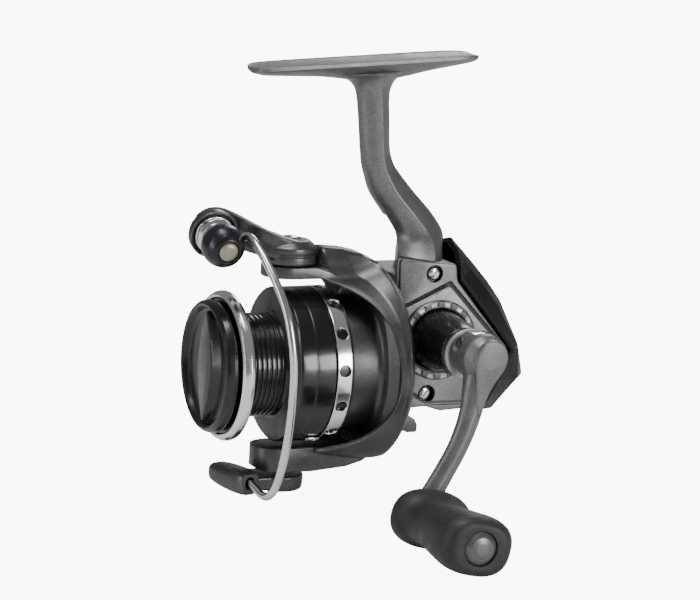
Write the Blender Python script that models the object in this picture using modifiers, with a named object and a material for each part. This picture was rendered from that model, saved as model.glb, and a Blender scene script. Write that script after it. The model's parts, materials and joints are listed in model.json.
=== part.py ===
"""Spinning reel, size 1000: an assembly of separate pieces at real size.

World frame, in metres: the origin is the centre of the foot's seat, +Z is up towards the rod,
the spool points to -X and the handle is on the -Y side. The working parts sit in a gearbox
frame, given by an empty: its X runs back along the main shaft, which tilts nose-up.
Numbers below are in millimetres, and MM turns them into metres.
"""

from math import acos, atan2, cos, degrees, pi, radians, sin, sqrt, tan

import bmesh
import bpy
from mathutils import Vector

MM = 0.001

# Driving dimensions, in millimetres.
GEARBOX_AT = (14.5, 0.0, -78.4)  # where the main shaft passes under the drive shaft
SHAFT_TILT = 3.4  # degrees, nose up
DRIVE_AXIS_Z = 7.7  # drive shaft above the main shaft
DRIVE_TEETH, PINION_TEETH = 48, 10
DRIVE_GEAR_R = 11.3
MAIN_SHAFT_R, DRIVE_SHAFT_R = 1.6, 2.9
BAIL_PIVOT_X = -37.0
OSCILLATION_X, OSCILLATION_Z = 8.8, 3.16  # axle of the oscillation gear
OSCILLATION_MODULE = 0.55
OSCILLATION_PINION_TEETH, OSCILLATION_GEAR_TEETH = 12, 24
CRANK_PIN_R = 4.0  # half the spool's stroke
SLIDER_X = 6.6  # slider at rest, 2.2 ahead of mid stroke
LIP_R, SKIRT_R, ARBOR_R = 19.0, 19.7, 13.2
SKIRT_HOLES = 13
CLIP_ANGLE = 242  # round the shaft, from +Y towards +Z
ROTOR_RIM_R = 26.0
ROTOR_ARM_INNER = 20.9  # height of the arms' inner faces from the shaft
KNOB_X, KNOB_Z = -15.4, -30.0
KNOB_LEAN = -12  # degrees, the knob's long side falls towards the rear
FOLD_PIN_Y, FOLD_PIN_Z = -35.6, 11.6
LEVER_Z = -13.0
SPRING_X, SPRING_Y, SPRING_Z = -32.0, -1.9, -24.2  # front end of the bail spring's axis
SPRING_LENGTH, SPRING_R = 9.0, 1.5
TOOTH_PLAY = 0.12  # backlash between the oscillation gears
ROLLER_AT = (-57.0, 0.5, 33.1)
ROLLER_ALONG = (0.0, -0.9707, -0.2402)  # unit vector from the bail arm to the screw's end

ROUND_STEPS, SMALL_STEPS = 32, 12


def material(name, colour, roughness, metallic):
    made = bpy.data.materials.new(name)
    made.use_nodes = True
    shader = made.node_tree.nodes["Principled BSDF"]
    shader.inputs["Base Color"].default_value = (*colour, 1.0)
    shader.inputs["Roughness"].default_value = roughness
    shader.inputs["Metallic"].default_value = metallic
    return made


def all_materials():
    """One material for each finish: its colour, roughness and metallic value."""
    finishes = {
        "painted_grey": ((0.17, 0.17, 0.18), 0.38, 0.6),
        "rotor_grey": ((0.10, 0.10, 0.105), 0.35, 0.6),
        "gloss_black": ((0.010, 0.010, 0.011), 0.2, 0.0),
        "spool_black": ((0.014, 0.014, 0.016), 0.22, 0.4),
        "polished_aluminium": ((0.80, 0.80, 0.81), 0.16, 1.0),
        "polished_steel": ((0.66, 0.66, 0.67), 0.14, 1.0),
        "arm_grey": ((0.26, 0.26, 0.27), 0.34, 0.8),
        "soft_black": ((0.035, 0.034, 0.036), 0.75, 0.0),
        "cap_grey": ((0.30, 0.30, 0.30), 0.4, 0.6),
        "cone_black": ((0.03, 0.031, 0.036), 0.3, 0.4),
        "bearing_steel": ((0.50, 0.50, 0.52), 0.25, 1.0),
        "gear_zinc": ((0.46, 0.46, 0.47), 0.4, 1.0),
        "brass": ((0.65, 0.47, 0.20), 0.3, 1.0),
        "felt": ((0.20, 0.17, 0.13), 0.95, 0.0),
        "white_resin": ((0.72, 0.71, 0.68), 0.5, 0.0),
    }
    return {name: material(name, *finish) for name, finish in finishes.items()}


def clear_scene():
    for thing in list(bpy.data.objects):
        bpy.data.objects.remove(thing)


def collection(name):
    made = bpy.data.collections.new(name)
    bpy.context.scene.collection.children.link(made)
    return made


clear_scene()
PARTS = collection("spinning_reel")
CUTTERS = collection("cutters")
MATERIALS = all_materials()
PLACES = {}  # each empty's place in the gearbox frame


def empty(name, parent, at):
    """An axis empty. at is in the gearbox frame, in millimetres."""
    made = bpy.data.objects.new(name, None)
    PARTS.objects.link(made)
    PLACES[name] = Vector(at)
    if parent:
        made.parent = bpy.data.objects[parent]
        made.location = (PLACES[name] - PLACES[parent]) * MM
    return made


def place(thing, parent, at, turn=(0, 0, 0)):
    """Hangs thing on an axis empty. at is in the gearbox frame, turn in degrees."""
    thing.parent = bpy.data.objects[parent]
    thing.location = (Vector(at) - PLACES[parent]) * MM
    thing.rotation_euler = [radians(angle) for angle in turn]
    return thing


def new_object(name, mesh, finish):
    """finish is a material's name, or None for a cutter or a shape to be joined."""
    thing = bpy.data.objects.new(name, mesh)
    if finish is None:
        CUTTERS.objects.link(thing)
        thing.hide_render = True
        thing.display_type = "WIRE"
    else:
        PARTS.objects.link(thing)
        thing.data.materials.append(MATERIALS[finish])
    return thing


TURNS = {"x": (0, 90, 0), "y": (-90, 0, 0), "z": (0, 0, 0)}  # local Z to a gearbox axis


def towards(direction):
    """Euler angles, in degrees, that turn local Z to a direction."""
    turn = Vector(direction).to_track_quat("Z", "Y").to_euler()
    return tuple(degrees(angle) for angle in turn)


def turned(name, profile, axis, parent, at, finish=None, steps=ROUND_STEPS):
    """A turned ring or disc: profile is a closed loop of (radius, station along the axis)."""
    signed = sum(
        r0 * z1 - r1 * z0 for (r0, z0), (r1, z1) in zip(profile, profile[1:] + profile[:1])
    )
    points = profile if signed < 0 else profile[::-1]
    on_axis = [i for i, (radius, _) in enumerate(points) if radius == 0]
    loop = len(on_axis) == 0
    if not loop:  # starts and ends on the axis, so the line stays open there
        start = next(i for i in on_axis if (i - 1) % len(points) in on_axis)
        points = points[start:] + points[:start]
    mesh = bpy.data.meshes.new(name)
    count = len(points)
    edges = [(i, (i + 1) % count) for i in range(count if loop else count - 1)]
    mesh.from_pydata([(r * MM, 0, z * MM) for r, z in points], edges, [])
    thing = place(new_object(name, mesh, finish), parent, at, TURNS.get(axis, axis))
    screw = thing.modifiers.new("turn", "SCREW")
    screw.axis = "Z"
    screw.steps = screw.render_steps = steps
    screw.use_merge_vertices = True
    screw.merge_threshold = 1e-5
    screw.use_smooth_shade = True
    return thing


def rod(name, radius, low, high, axis, parent, at, finish=None, sides=SMALL_STEPS, tip=None):
    """A cylinder, or a cone with a tip radius, from station low to high along the axis."""
    mesh = bpy.data.meshes.new(name)
    shape = bmesh.new()
    end = radius if tip is None else tip
    bmesh.ops.create_cone(
        shape, cap_ends=True, segments=sides, radius1=radius * MM, radius2=end * MM,
        depth=(high - low) * MM,
    )
    bmesh.ops.translate(shape, verts=shape.verts, vec=(0, 0, (low + high) / 2 * MM))
    shape.to_mesh(mesh)
    shape.free()
    mesh.shade_smooth()
    mesh.set_sharp_from_angle(angle=radians(40))
    return place(new_object(name, mesh, finish), parent, at, TURNS.get(axis, axis))


def block(name, low, high, parent, finish=None, turn=(0, 0, 0)):
    """A box between two corners in the gearbox frame, turned about its centre."""
    low, high = Vector(low), Vector(high)
    mesh = bpy.data.meshes.new(name)
    shape = bmesh.new()
    bmesh.ops.create_cube(shape, size=1)
    bmesh.ops.scale(shape, verts=shape.verts, vec=(high - low) * MM)
    shape.to_mesh(mesh)
    shape.free()
    return place(new_object(name, mesh, finish), parent, (low + high) / 2, turn)


PLANES = {"xz": (90, 0, 0), "xy": (0, 0, 0), "yz": (90, 0, 90)}


def slab(name, outline, low, high, plane, parent, finish=None, at=(0, 0, 0), turn=None):
    """A flat outline in a gearbox plane, filled and extruded from low to high across it."""
    curve = bpy.data.curves.new(name, "CURVE")
    curve.dimensions = "2D"
    curve.fill_mode = "BOTH"
    curve.extrude = (high - low) / 2 * MM
    line = curve.splines.new("POLY")
    line.points.add(len(outline) - 1)
    for point, (u, v) in zip(line.points, outline):
        point.co = (u * MM, v * MM, 0, 1)
    line.use_cyclic_u = True
    across = {"xz": (0, 1, 0), "xy": (0, 0, 1), "yz": (1, 0, 0)}[plane]
    centre = Vector(at) + Vector(across) * (low + high) / 2
    return solid_from(curve, name, parent, centre, turn or PLANES[plane], finish)


def wire(name, points, radius, parent, finish=None, sides=2, at=(0, 0, 0)):
    """A round wire or rod along a line of points in the gearbox frame."""
    curve = bpy.data.curves.new(name, "CURVE")
    curve.dimensions = "3D"
    curve.bevel_depth = radius * MM
    curve.bevel_resolution = sides
    curve.use_fill_caps = True
    line = curve.splines.new("POLY")
    line.points.add(len(points) - 1)
    for point, place_mm in zip(line.points, points):
        point.co = (*(Vector(place_mm) * MM), 1)
    return solid_from(curve, name, parent, at, (0, 0, 0), finish)


def solid_from(curve, name, parent, at, turn, finish):
    """Makes a curve's shape a mesh with its caps welded on, so that it can be cut."""
    guide = bpy.data.objects.new(name + "_curve", curve)
    CUTTERS.objects.link(guide)
    bpy.context.view_layer.update()
    graph = bpy.context.evaluated_depsgraph_get()
    mesh = bpy.data.meshes.new_from_object(guide.evaluated_get(graph))
    bpy.data.objects.remove(guide)
    shape = bmesh.new()
    shape.from_mesh(mesh)
    bmesh.ops.remove_doubles(shape, verts=shape.verts, dist=1e-6)
    bmesh.ops.recalc_face_normals(shape, faces=shape.faces)
    shape.to_mesh(mesh)
    shape.free()
    mesh.materials.clear()
    mesh.shade_smooth()
    mesh.set_sharp_from_angle(angle=radians(35))
    return place(new_object(name, mesh, finish), parent, at, turn)


def lofted(name, rings, parent, finish=None, at=(0, 0, 0), turn=(0, 0, 0)):
    """Skins a row of rings with equal numbers of points, and closes both ends."""
    shape = bmesh.new()
    rows = [[shape.verts.new(Vector(point) * MM) for point in ring] for ring in rings]
    count = len(rows[0])
    for row, following in zip(rows, rows[1:]):
        for i in range(count):
            j = (i + 1) % count
            shape.faces.new((row[i], row[j], following[j], following[i]))
    shape.faces.new(rows[0])
    shape.faces.new(rows[-1])
    bmesh.ops.recalc_face_normals(shape, faces=shape.faces)
    bmesh.ops.triangulate(shape, faces=[f for f in shape.faces if len(f.verts) > 4])
    mesh = bpy.data.meshes.new(name)
    shape.to_mesh(mesh)
    shape.free()
    mesh.shade_smooth()
    mesh.set_sharp_from_angle(angle=radians(30))
    return place(new_object(name, mesh, finish), parent, at, turn)


def combine(thing, operation, others):
    for other in others:
        step = thing.modifiers.new(other.name, "BOOLEAN")
        step.operation = operation
        step.solver = "EXACT"
        step.object = other
    return thing


def cut(thing, *others):
    return combine(thing, "DIFFERENCE", others)


def join(thing, *others):
    return combine(thing, "UNION", others)


def ring_profile(inner, outer, low, high):
    return [(inner, low), (outer, low), (outer, high), (inner, high)]


def arc(centre_u, centre_v, radius, start, end, count):
    """Points round an arc, from start to end in degrees."""
    angles = [radians(start + (end - start) * i / (count - 1)) for i in range(count)]
    return [(centre_u + radius * cos(a), centre_v + radius * sin(a)) for a in angles]


# ---- Axes -----------------------------------------------------------------------------------

def build_axes():
    world = bpy.data.objects.new("foot_seat", None)
    PARTS.objects.link(world)
    PLACES["foot_seat"] = Vector((0, 0, 0))
    gearbox = empty("gearbox", None, (0, 0, 0))
    gearbox.location = Vector(GEARBOX_AT) * MM
    gearbox.rotation_euler = (0, radians(SHAFT_TILT), 0)
    empty("drive_axis", "gearbox", (0, 0, DRIVE_AXIS_Z))
    empty("fold_axis", "drive_axis", (0, FOLD_PIN_Y, FOLD_PIN_Z))
    empty("knob_axis", "fold_axis", (KNOB_X, -60, KNOB_Z))
    empty("shaft_axis", "gearbox", (0, 0, 0))
    empty("spool_axis", "shaft_axis", (-45, 0, 0))
    empty("drag_axis", "shaft_axis", (-56, 0, 0))
    empty("rotor_axis", "gearbox", (-20, 0, 0))
    empty("bail_axis", "rotor_axis", (BAIL_PIVOT_X, 0, 0))
    empty("kick_axis", "rotor_axis", (BAIL_PIVOT_X, 0, -24))
    empty("roller_axis", "bail_axis", ROLLER_AT)
    empty("oscillation_axis", "gearbox", (OSCILLATION_X, 0, OSCILLATION_Z))
    empty("lever_axis", "gearbox", (-3, 0, LEVER_Z))


# ---- Body -----------------------------------------------------------------------------------

CASE_OUTLINE = [
    (-10.3, 27.9), (4.5, 26.5), (5.1, 22.6), (20.8, 4.1), (12.6, -10.5), (2.2, -11.2),
    (-2.0, -9.9), (-8.0, -10.3), (-10.3, -9.0),
]
# The case's top narrows towards the far front: the plan cut away, and its (z, shift in x) levels.
FAR_CORNER_PLAN = [(-11.4, -9.6), (-6.7, 0.0), (-1.8, 12.6), (-1.8, 13.0), (-16.0, 13.0), (-16.0, -9.6)]
FAR_CORNER_LEVELS = [(23.9, 0.0), (30.5, 0.0), (38.0, -4.0)]
CAVITY_OUTLINE = [
    (-8.7, 23.2), (8.0, 23.2), (30.0, 6.0), (16.0, -9.3), (2.0, -9.5), (-8.7, -8.4),
]
SCREW_TOP, SCREW_BOTTOM = (-1.6, 24.6), (-2.3, -6.4)
COVER_OUTER, COVER_INNER = -12.0, -9.7


def stem_ring(z, front, edge, rear, half, fall=0.0):
    """One level of the stem in world millimetres: a blunt front, its widest line and a thin rear.

    fall is how far the level drops for each millimetre back from its front.
    """
    front_step = (edge - front) * 0.42
    rear_step = (rear - edge) * 0.68
    half_ring = [
        (front, 0.32 * half), (front + front_step, 0.82 * half), (edge, half),
        (edge + rear_step, 0.62 * half), (rear, 0.18 * half),
    ]
    outline = half_ring + [(x, -y) for x, y in reversed(half_ring)]
    return [(x, y, z - fall * (x - front)) for x, y in outline]


def build_stem():
    levels = [
        (-3.4, -5.0, 2.6, 10.0, 5.4), (-5.6, -3.2, 2.9, 8.0, 4.6), (-8.6, -2.0, 3.2, 6.6, 4.0),
        (-22.5, -0.9, 3.7, 6.8, 4.0), (-29.0, 0.1, 4.9, 9.4, 4.2), (-34.0, 1.8, 7.5, 13.3, 4.7),
        (-40.0, 5.8, 12.1, 18.4, 5.4), (-44.6, 8.2, 15.4, 21.4, 7.0, 0.05),
        (-47.4, 7.2, 15.6, 20.9, 9.2, 0.12), (-49.3, 6.0, 14.8, 20.6, 11.2, 0.165),
        (-49.4, 6.4, 14.6, 20.0, 9.0, 0.165), (-53.6, 7.2, 13.0, 18.0, 8.6),
    ]
    rings = [stem_ring(*level) for level in levels]
    return lofted("stem_shape", rings, "foot_seat")


def foot_ring(x, half, bottom, lift):
    """A slice across the foot: a shallow trough on top with a flat strip, and a rounded belly."""
    right = [
        (1.5, 0.0), (0.55 * half, 0.12), (half, lift), (half, -0.55 - 0.2 * abs(lift)),
        (0.55 * half, bottom),
    ]
    points = right + [(-y, z) for y, z in reversed(right)]
    return [(x, y, z) for y, z in points]


def build_foot():
    stations = [
        (-30.5, 3.2, -1.3, 0.2), (-29.6, 4.9, -1.7, 0.4), (-27.0, 5.9, -2.2, 0.55),
        (-14.0, 6.3, -3.2, 0.6), (-4.0, 6.3, -4.8, 0.6), (3.0, 6.3, -5.4, 0.6),
        (10.0, 6.3, -4.7, 0.6), (20.0, 6.1, -3.0, 0.6), (28.0, 5.5, -2.0, 0.5),
        (29.9, 4.4, -1.6, 0.35), (30.5, 3.0, -1.3, 0.2),
    ]
    return lofted("foot_shape", [foot_ring(*station) for station in stations], "foot_seat")


def build_body_frame():
    """Foot, stem and gear case in one casting. The case opens towards the side and rear covers."""
    outline = CASE_OUTLINE + [(-10.9, -8.8), (-10.9, 15.5)]
    frame = slab("body_frame", outline, -9.4, 12, "xz", "gearbox", "painted_grey")
    drive = (0, 0, DRIVE_AXIS_Z)
    far_corner = [[(x + shift, y, z) for x, y in FAR_CORNER_PLAN] for z, shift in FAR_CORNER_LEVELS]
    join(
        frame,
        build_stem(),
        build_foot(),
        rod("front_drum", 19, -13.6, -10.7, "x", "gearbox", (0, 0, 0), sides=ROUND_STEPS),
        rod("clutch_housing", 10.4, -22.8, -13.0, "x", "gearbox", (0, 0, 0), sides=20),
        rod("far_boss", 8, 11.5, 15, "y", "gearbox", drive, sides=24),
    )
    cut(
        frame,
        lofted("far_corner", far_corner, "gearbox"),
        slab("case_cavity", CAVITY_OUTLINE, -12, 10.4, "xz", "gearbox"),
        block("gear_pocket", (-12.2, -8.5, -8.0), (-8.0, 8.0, 15.4), "gearbox"),
    )
    join(
        frame,
        block("screw_post", (-4.8, -9.4, -10.0), (0.2, -4.0, -4.3), "gearbox"),
    )
    return cut(
        frame,
        rod("bearing_seat", 7.3, -17.6, -11, "x", "gearbox", (0, 0, 0), sides=24),
        rod("clutch_seat", 9.0, -24, -18.0, "x", "gearbox", (0, 0, 0), sides=24),
        rod("pinion_way", 3.7, -19, -16, "x", "gearbox", (0, 0, 0)),
        rod("far_bearing_seat", 5.5, 9, 13.8, "y", "gearbox", drive),
        rod("far_shaft_way", 2.6, 13, 16, "y", "gearbox", drive),
        rod("top_screw_hole", 1.2, -10, -4, "y", "gearbox", (SCREW_TOP[0], 0, SCREW_TOP[1]), sides=8),
        rod("low_screw_hole", 1.2, -10, -4.8, "y", "gearbox",
            (SCREW_BOTTOM[0], 0, SCREW_BOTTOM[1]), sides=8),
        rod("lever_seat", 1.3, -13.0, -10, "x", "gearbox", (0, 0, LEVER_Z), sides=8),
    )


def build_side_cover():
    cover = slab(
        "side_cover", CASE_OUTLINE, COVER_OUTER, COVER_INNER, "xz", "gearbox", "painted_grey"
    )
    panel = [(-10.0, 15.6), (2.8, 21.6), (19.4, 4.0), (12.2, -8.6), (-1.2, -8.6), (-10.0, -4.0)]
    join(cover, slab("raised_panel", panel, -12.7, -11.5, "xz", "gearbox"))
    cut(cover, rod("boss_hole", 8.3, -14, -9, "y", "gearbox", (0, 0, DRIVE_AXIS_Z), sides=32))
    for label, (x, z) in (("top", SCREW_TOP), ("low", SCREW_BOTTOM)):
        cut(
            cover,
            rod(label + "_head_recess", 2.2, -13, -10.9, "y", "gearbox", (x, 0, z)),
            rod(label + "_shank_way", 1.3, -12, -9, "y", "gearbox", (x, 0, z), sides=8),
        )
    return cover


def build_screw(name, head_r, shank_r, head, seat, end, parent, at, axis="y"):
    """A screw with a rounded head from station head to seat, and a shank on to end."""
    rise = (seat - head) * 0.4
    profile = [
        (0, head), (0.6 * head_r, head), (head_r, head + rise), (head_r, seat), (shank_r, seat),
        (shank_r, end), (0, end),
    ]
    return turned(name, profile, axis, parent, at, "polished_steel", 12)


def band(outer, inner, y):
    return [(x, y, z) for x, z in outer] + [(x, y, z) for x, z in reversed(inner)]


def build_rear_cover():
    """An angular shell over the case's open rear, from edge to edge round a central ridge."""
    ridge = [
        (8.0, 32.0), (15.4, 24.4), (19.8, 19.5), (23.3, 14.9), (28.9, 3.9), (31.0, -4.8),
        (22.9, -13.1), (15.0, -13.3),
    ]
    ridge_inner = [
        (6.9, 30.6), (14.0, 23.2), (18.4, 18.3), (21.9, 13.8), (27.2, 3.5), (28.8, -4.2),
        (22.0, -11.6), (15.0, -11.9),
    ]
    middle = [
        (7.0, 30.4), (11.6, 24.2), (15.9, 19.4), (19.9, 14.4), (26.4, 3.9), (26.9, -4.3),
        (19.6, -12.4), (14.4, -12.9),
    ]
    middle_inner = [
        (6.0, 29.2), (10.4, 23.2), (14.6, 18.3), (18.5, 13.5), (24.9, 3.7), (25.2, -3.8),
        (18.9, -11.1), (14.4, -11.6),
    ]
    edge_inner = [
        (5.3, 26.8), (5.7, 22.8), (9.9, 17.9), (14.0, 13.1), (21.3, 4.1), (17.1, -3.4),
        (13.4, -10.0), (13.1, -10.9),
    ]
    edge = [
        (6.5, 27.4), (7.0, 23.3), (11.0, 18.6), (15.2, 13.8), (22.6, 4.1), (18.6, -4.0),
        (14.4, -11.4), (13.6, -12.0),
    ]
    rings = [
        band(edge, edge_inner, -12.0), band(edge, edge_inner, -10.6),
        band(middle, middle_inner, -6.0), band(ridge, ridge_inner, 0.0),
        band(middle, middle_inner, 6.0), band(edge, edge_inner, 10.6), band(edge, edge_inner, 12.0),
    ]
    return lofted("rear_cover", rings, "gearbox", "gloss_black")


def build_handle_boss():
    profile = [
        (3.5, -29.2), (6.3, -29.2), (7.8, -14.0), (8.0, -13.2), (8.0, -10.1), (6.1, -10.1),
        (6.1, -13.8), (3.5, -13.8),
    ]
    return turned("handle_boss", profile, "y", "gearbox", (0, 0, DRIVE_AXIS_Z), "gloss_black", 24)


def build_bearing(name, inner, outer, low, high, axis, at):
    """Outer and inner ring, with the shield between them set back on one side."""
    third = (outer - inner) * 0.3
    dip = (high - low) * 0.12
    profile = [
        (inner, low), (inner + third, low), (inner + third, low + dip), (outer - third, low + dip),
        (outer - third, low), (outer, low), (outer, high), (inner, high),
    ]
    return turned(name, profile, axis, "gearbox", at, "bearing_steel", 16)


def build_body_parts():
    drive = (0, 0, DRIVE_AXIS_Z)
    build_body_frame()
    build_side_cover()
    build_rear_cover()
    build_handle_boss()
    ring = [(8.5, -13.0), (10.2, -13.0), (10.0, -13.9), (8.5, -13.7)]
    turned("cover_ring", ring, "y", "gearbox", drive, "painted_grey", 32)
    build_bearing("drive_bearing_near", 3.2, 5.9, -13.5, -10.4, "y", drive)
    build_bearing("drive_bearing_far", 2.3, 5.2, 10.8, 13.5, "y", drive)
    build_bearing("pinion_bearing", 3.3, 7.0, -17.3, -14.3, "x", (0, 0, 0))
    build_bearing("one_way_clutch", 3.4, 8.7, -22.4, -18.3, "x", (0, 0, 0))
    turned("clutch_retainer", ring_profile(3.5, 10.0, -24.2, -23.1), "x", "gearbox", (0, 0, 0),
           "bearing_steel", 24)
    rod("guide_rod", 0.9, -8.4, 15.5, "x", "gearbox", (0, 0, -6.0), "polished_steel", 10)
    rod("oscillation_axle", 1.4, 3.2, 10.1, "y", "gearbox", (OSCILLATION_X, 0, OSCILLATION_Z),
        "polished_steel", 12)
    for name, end, (x, z) in (
        ("cover_screw_top", -5, SCREW_TOP), ("cover_screw_low", -6, SCREW_BOTTOM),
    ):
        build_screw(name, 1.75, 0.9, -12.1, -11.2, end, "gearbox", (x, 0, z))


def build_lever():
    """The anti-reverse switch: a spindle in the case with a hooked thumb tab under the body."""
    hook = [
        (-6.0, -12.2), (-2.6, -12.2), (-1.5, -14.6), (0.2, -15.6), (1.1, -17.2), (1.0, -19.2),
        (-1.8, -19.2), (-5.0, -17.0),
    ]
    tab = slab("anti_reverse_lever", hook, -1.3, 1.3, "xz", "lever_axis", "rotor_grey")
    return join(tab, rod("lever_spindle", 1.0, -12.7, -4, "x", "lever_axis", (0, 0, LEVER_Z), sides=8))


# ---- Gears ----------------------------------------------------------------------------------

def involute(angle):
    return tan(angle) - angle


def gear_outline(teeth, module, play, start):
    """A spur gear's outline with involute flanks. start is the angle of one tooth's middle."""
    pitch = teeth * module / 2
    base = pitch * cos(radians(20))
    tip, root = pitch + 0.95 * module, pitch - 1.2 * module
    half_tooth = pi / (2 * teeth) - play / (2 * pitch) + involute(radians(20))
    first = max(base, root) * 1.001
    outline = []
    for tooth in range(teeth):
        middle = start + 2 * pi * tooth / teeth
        flank = []
        for radius in (first, tip):
            flank.append((radius, half_tooth - involute(acos(base / radius))))
        gap_half = min(flank[0][1] + 0.04, pi / teeth * 0.96)
        rising = [(root, -gap_half)] + [(r, -a) for r, a in flank]
        falling = [(r, a) for r, a in reversed(flank)] + [(root, gap_half)]
        outline += [(r * cos(middle + a), r * sin(middle + a)) for r, a in rising + falling]
    return outline


def build_drive_gear():
    """A face gear: a disc with its teeth standing on the side that faces the pinion."""
    profile = [(3.2, -7.4), (DRIVE_GEAR_R, -7.4), (DRIVE_GEAR_R, -5.5), (7.9, -5.5), (3.2, -5.5)]
    steps = 2 * DRIVE_TEETH
    blank = turned("drive_gear_blank", profile, "y", "drive_axis", (0, 0, DRIVE_AXIS_Z), None, steps)
    bpy.context.view_layer.update()
    graph = bpy.context.evaluated_depsgraph_get()
    mesh = bpy.data.meshes.new_from_object(blank.evaluated_get(graph))
    bpy.data.objects.remove(blank)
    shape = bmesh.new()
    shape.from_mesh(mesh)
    rim = [f for f in shape.faces if f.normal.z > 0.9 and f.calc_center_median().xy.length > 8 * MM]
    rim.sort(key=lambda f: atan2(f.calc_center_median().y, f.calc_center_median().x))
    raised = bmesh.ops.extrude_discrete_faces(shape, faces=rim[::2])["faces"]
    corners = list({v for f in raised for v in f.verts})
    bmesh.ops.translate(shape, verts=corners, vec=(0, 0, 1.2 * MM))
    shape.to_mesh(mesh)
    shape.free()
    gear = new_object("drive_gear", mesh, "gear_zinc")
    return place(gear, "drive_axis", (0, 0, DRIVE_AXIS_Z), TURNS["y"])


def build_pinion():
    """A long brass pinion: helical teeth at the rear, and a sleeve that carries the rotor."""
    levels, twist = 3, radians(50)
    rings = []
    for level in range(levels + 1):
        x = -11.6 + 7.4 * level / levels
        angle = twist * level / levels
        ring = []
        for tooth in range(PINION_TEETH):
            middle = angle + 2 * pi * tooth / PINION_TEETH
            for radius, offset in ((3.1, -0.24), (3.9, -0.1), (3.9, 0.1), (3.1, 0.24)):
                ring.append((x, radius * cos(middle + offset), radius * sin(middle + offset)))
        rings.append(ring)
    pinion = lofted("pinion_gear", rings, "rotor_axis", "brass")
    join(pinion, rod("pinion_sleeve", 3.0, -34.2, -11, "x", "rotor_axis", (0, 0, 0), sides=20))
    return cut(pinion, rod("pinion_bore", 1.9, -36, -3, "x", "rotor_axis", (0, 0, 0)))


def build_oscillation_parts():
    """The spur pair that moves the spool to and fro, with the crank pin on the gear's face."""
    up = atan2(OSCILLATION_Z - DRIVE_AXIS_Z, OSCILLATION_X)
    pinion = slab(
        "oscillation_pinion",
        gear_outline(OSCILLATION_PINION_TEETH, OSCILLATION_MODULE, TOOTH_PLAY, up),
        3.4, 6.2, "xz", "drive_axis", "brass", (0, 0, DRIVE_AXIS_Z),
    )
    cut(pinion, rod("pinion_shaft_way", 2.2, 3, 7, "y", "drive_axis", (0, 0, DRIVE_AXIS_Z), sides=12))
    half_pitch = pi / OSCILLATION_GEAR_TEETH
    outline = gear_outline(OSCILLATION_GEAR_TEETH, OSCILLATION_MODULE, TOOTH_PLAY, up + pi + half_pitch)
    at = (OSCILLATION_X, 0, OSCILLATION_Z)
    gear = slab("oscillation_gear", outline, 3.7, 5.9, "xz", "oscillation_axis", "white_resin", at)
    offset = SLIDER_X - OSCILLATION_X
    pin_at = (SLIDER_X, 0, OSCILLATION_Z + sqrt(CRANK_PIN_R**2 - offset**2))
    join(gear, rod("crank_pin", 0.9, 2.7, 4.5, "y", "oscillation_axis", pin_at, sides=10))
    return cut(gear, rod("gear_bore", 1.5, 3, 7, "y", "oscillation_axis", at, sides=12))


# ---- Handle ---------------------------------------------------------------------------------

def build_drive_shaft():
    drive = (0, 0, DRIVE_AXIS_Z)
    profile = [
        (0, -31.4), (DRIVE_SHAFT_R, -31.4), (DRIVE_SHAFT_R, -3.4), (2.4, -3.0), (2.4, 2.4),
        (1.95, 2.8), (1.95, 17.2), (0, 17.2),
    ]
    shaft = turned("drive_shaft", profile, "y", "drive_axis", drive, "polished_steel", 16)
    tongue = [(-31.25, 5.6), (-31.25, 10.2)] + arc(FOLD_PIN_Y, FOLD_PIN_Z, 2.5, 60, 250, 8)
    join(shaft, slab("tongue", tongue, -1.8, 1.8, "yz", "drive_axis"))
    return cut(
        shaft, rod("pin_eye", 1.2, -3, 3, "x", "drive_axis", (0, FOLD_PIN_Y, FOLD_PIN_Z), sides=10)
    )


def arm_ring(x, y, z, wide, deep, slope):
    """An oval slice of the handle arm, square to its run. slope is the run's angle, in degrees."""
    ring = []
    for i in range(10):
        angle = 2 * pi * i / 10
        across = wide / 2 * cos(angle)
        ring.append((
            x + across * cos(radians(slope)), y + deep / 2 * sin(angle),
            z - across * sin(radians(slope)),
        ))
    return ring


def build_handle_arm():
    """The hub folds on its pin; the arm swings down and forward to the knob's eye."""
    hub_z = DRIVE_AXIS_Z + 0.9
    profile = [
        (0, -43.2), (4.2, -43.2), (5.8, -41.4), (6.1, -37.0), (6.1, -33.6), (4.1, -31.6), (0, -31.6),
    ]
    arm = turned("handle_arm", profile, "y", "fold_axis", (0, 0, hub_z), "arm_grey", 24)
    stations = [
        (0.0, -39.0, 7.0, 7.0, 6.4, 4), (-1.9, -39.8, 1.0, 6.6, 5.4, 5),
        (-2.8, -40.4, -3.5, 6.1, 4.8, 12), (-4.3, -40.8, -8.6, 5.7, 4.4, 20),
        (-6.8, -41.0, -14.6, 5.4, 4.1, 27), (-10.2, -41.0, -20.8, 5.5, 4.0, 30),
        (-12.8, -41.0, -25.4, 6.0, 4.0, 30), (KNOB_X, -41.0, -29.6, 6.6, 4.0, 30),
    ]
    join(
        arm,
        lofted("arm_shape", [arm_ring(*station) for station in stations], "fold_axis"),
        rod("eye_shape", 4.6, -43.0, -39.0, "y", "fold_axis", (KNOB_X, 0, KNOB_Z), sides=20),
    )
    return cut(
        arm,
        block("tongue_slot", (-2.15, -38.6, 0.4), (2.15, -30, 20), "fold_axis"),
        rod("pin_way", 1.35, -8, 8, "x", "fold_axis", (0, FOLD_PIN_Y, FOLD_PIN_Z), sides=10),
        rod("pin_head_way", 2.0, -9, -4.3, "x", "fold_axis", (0, FOLD_PIN_Y, FOLD_PIN_Z), sides=12),
        rod("knob_shaft_way", 2.2, -45, -38, "y", "fold_axis", (KNOB_X, 0, KNOB_Z), sides=12),
    )


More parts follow.
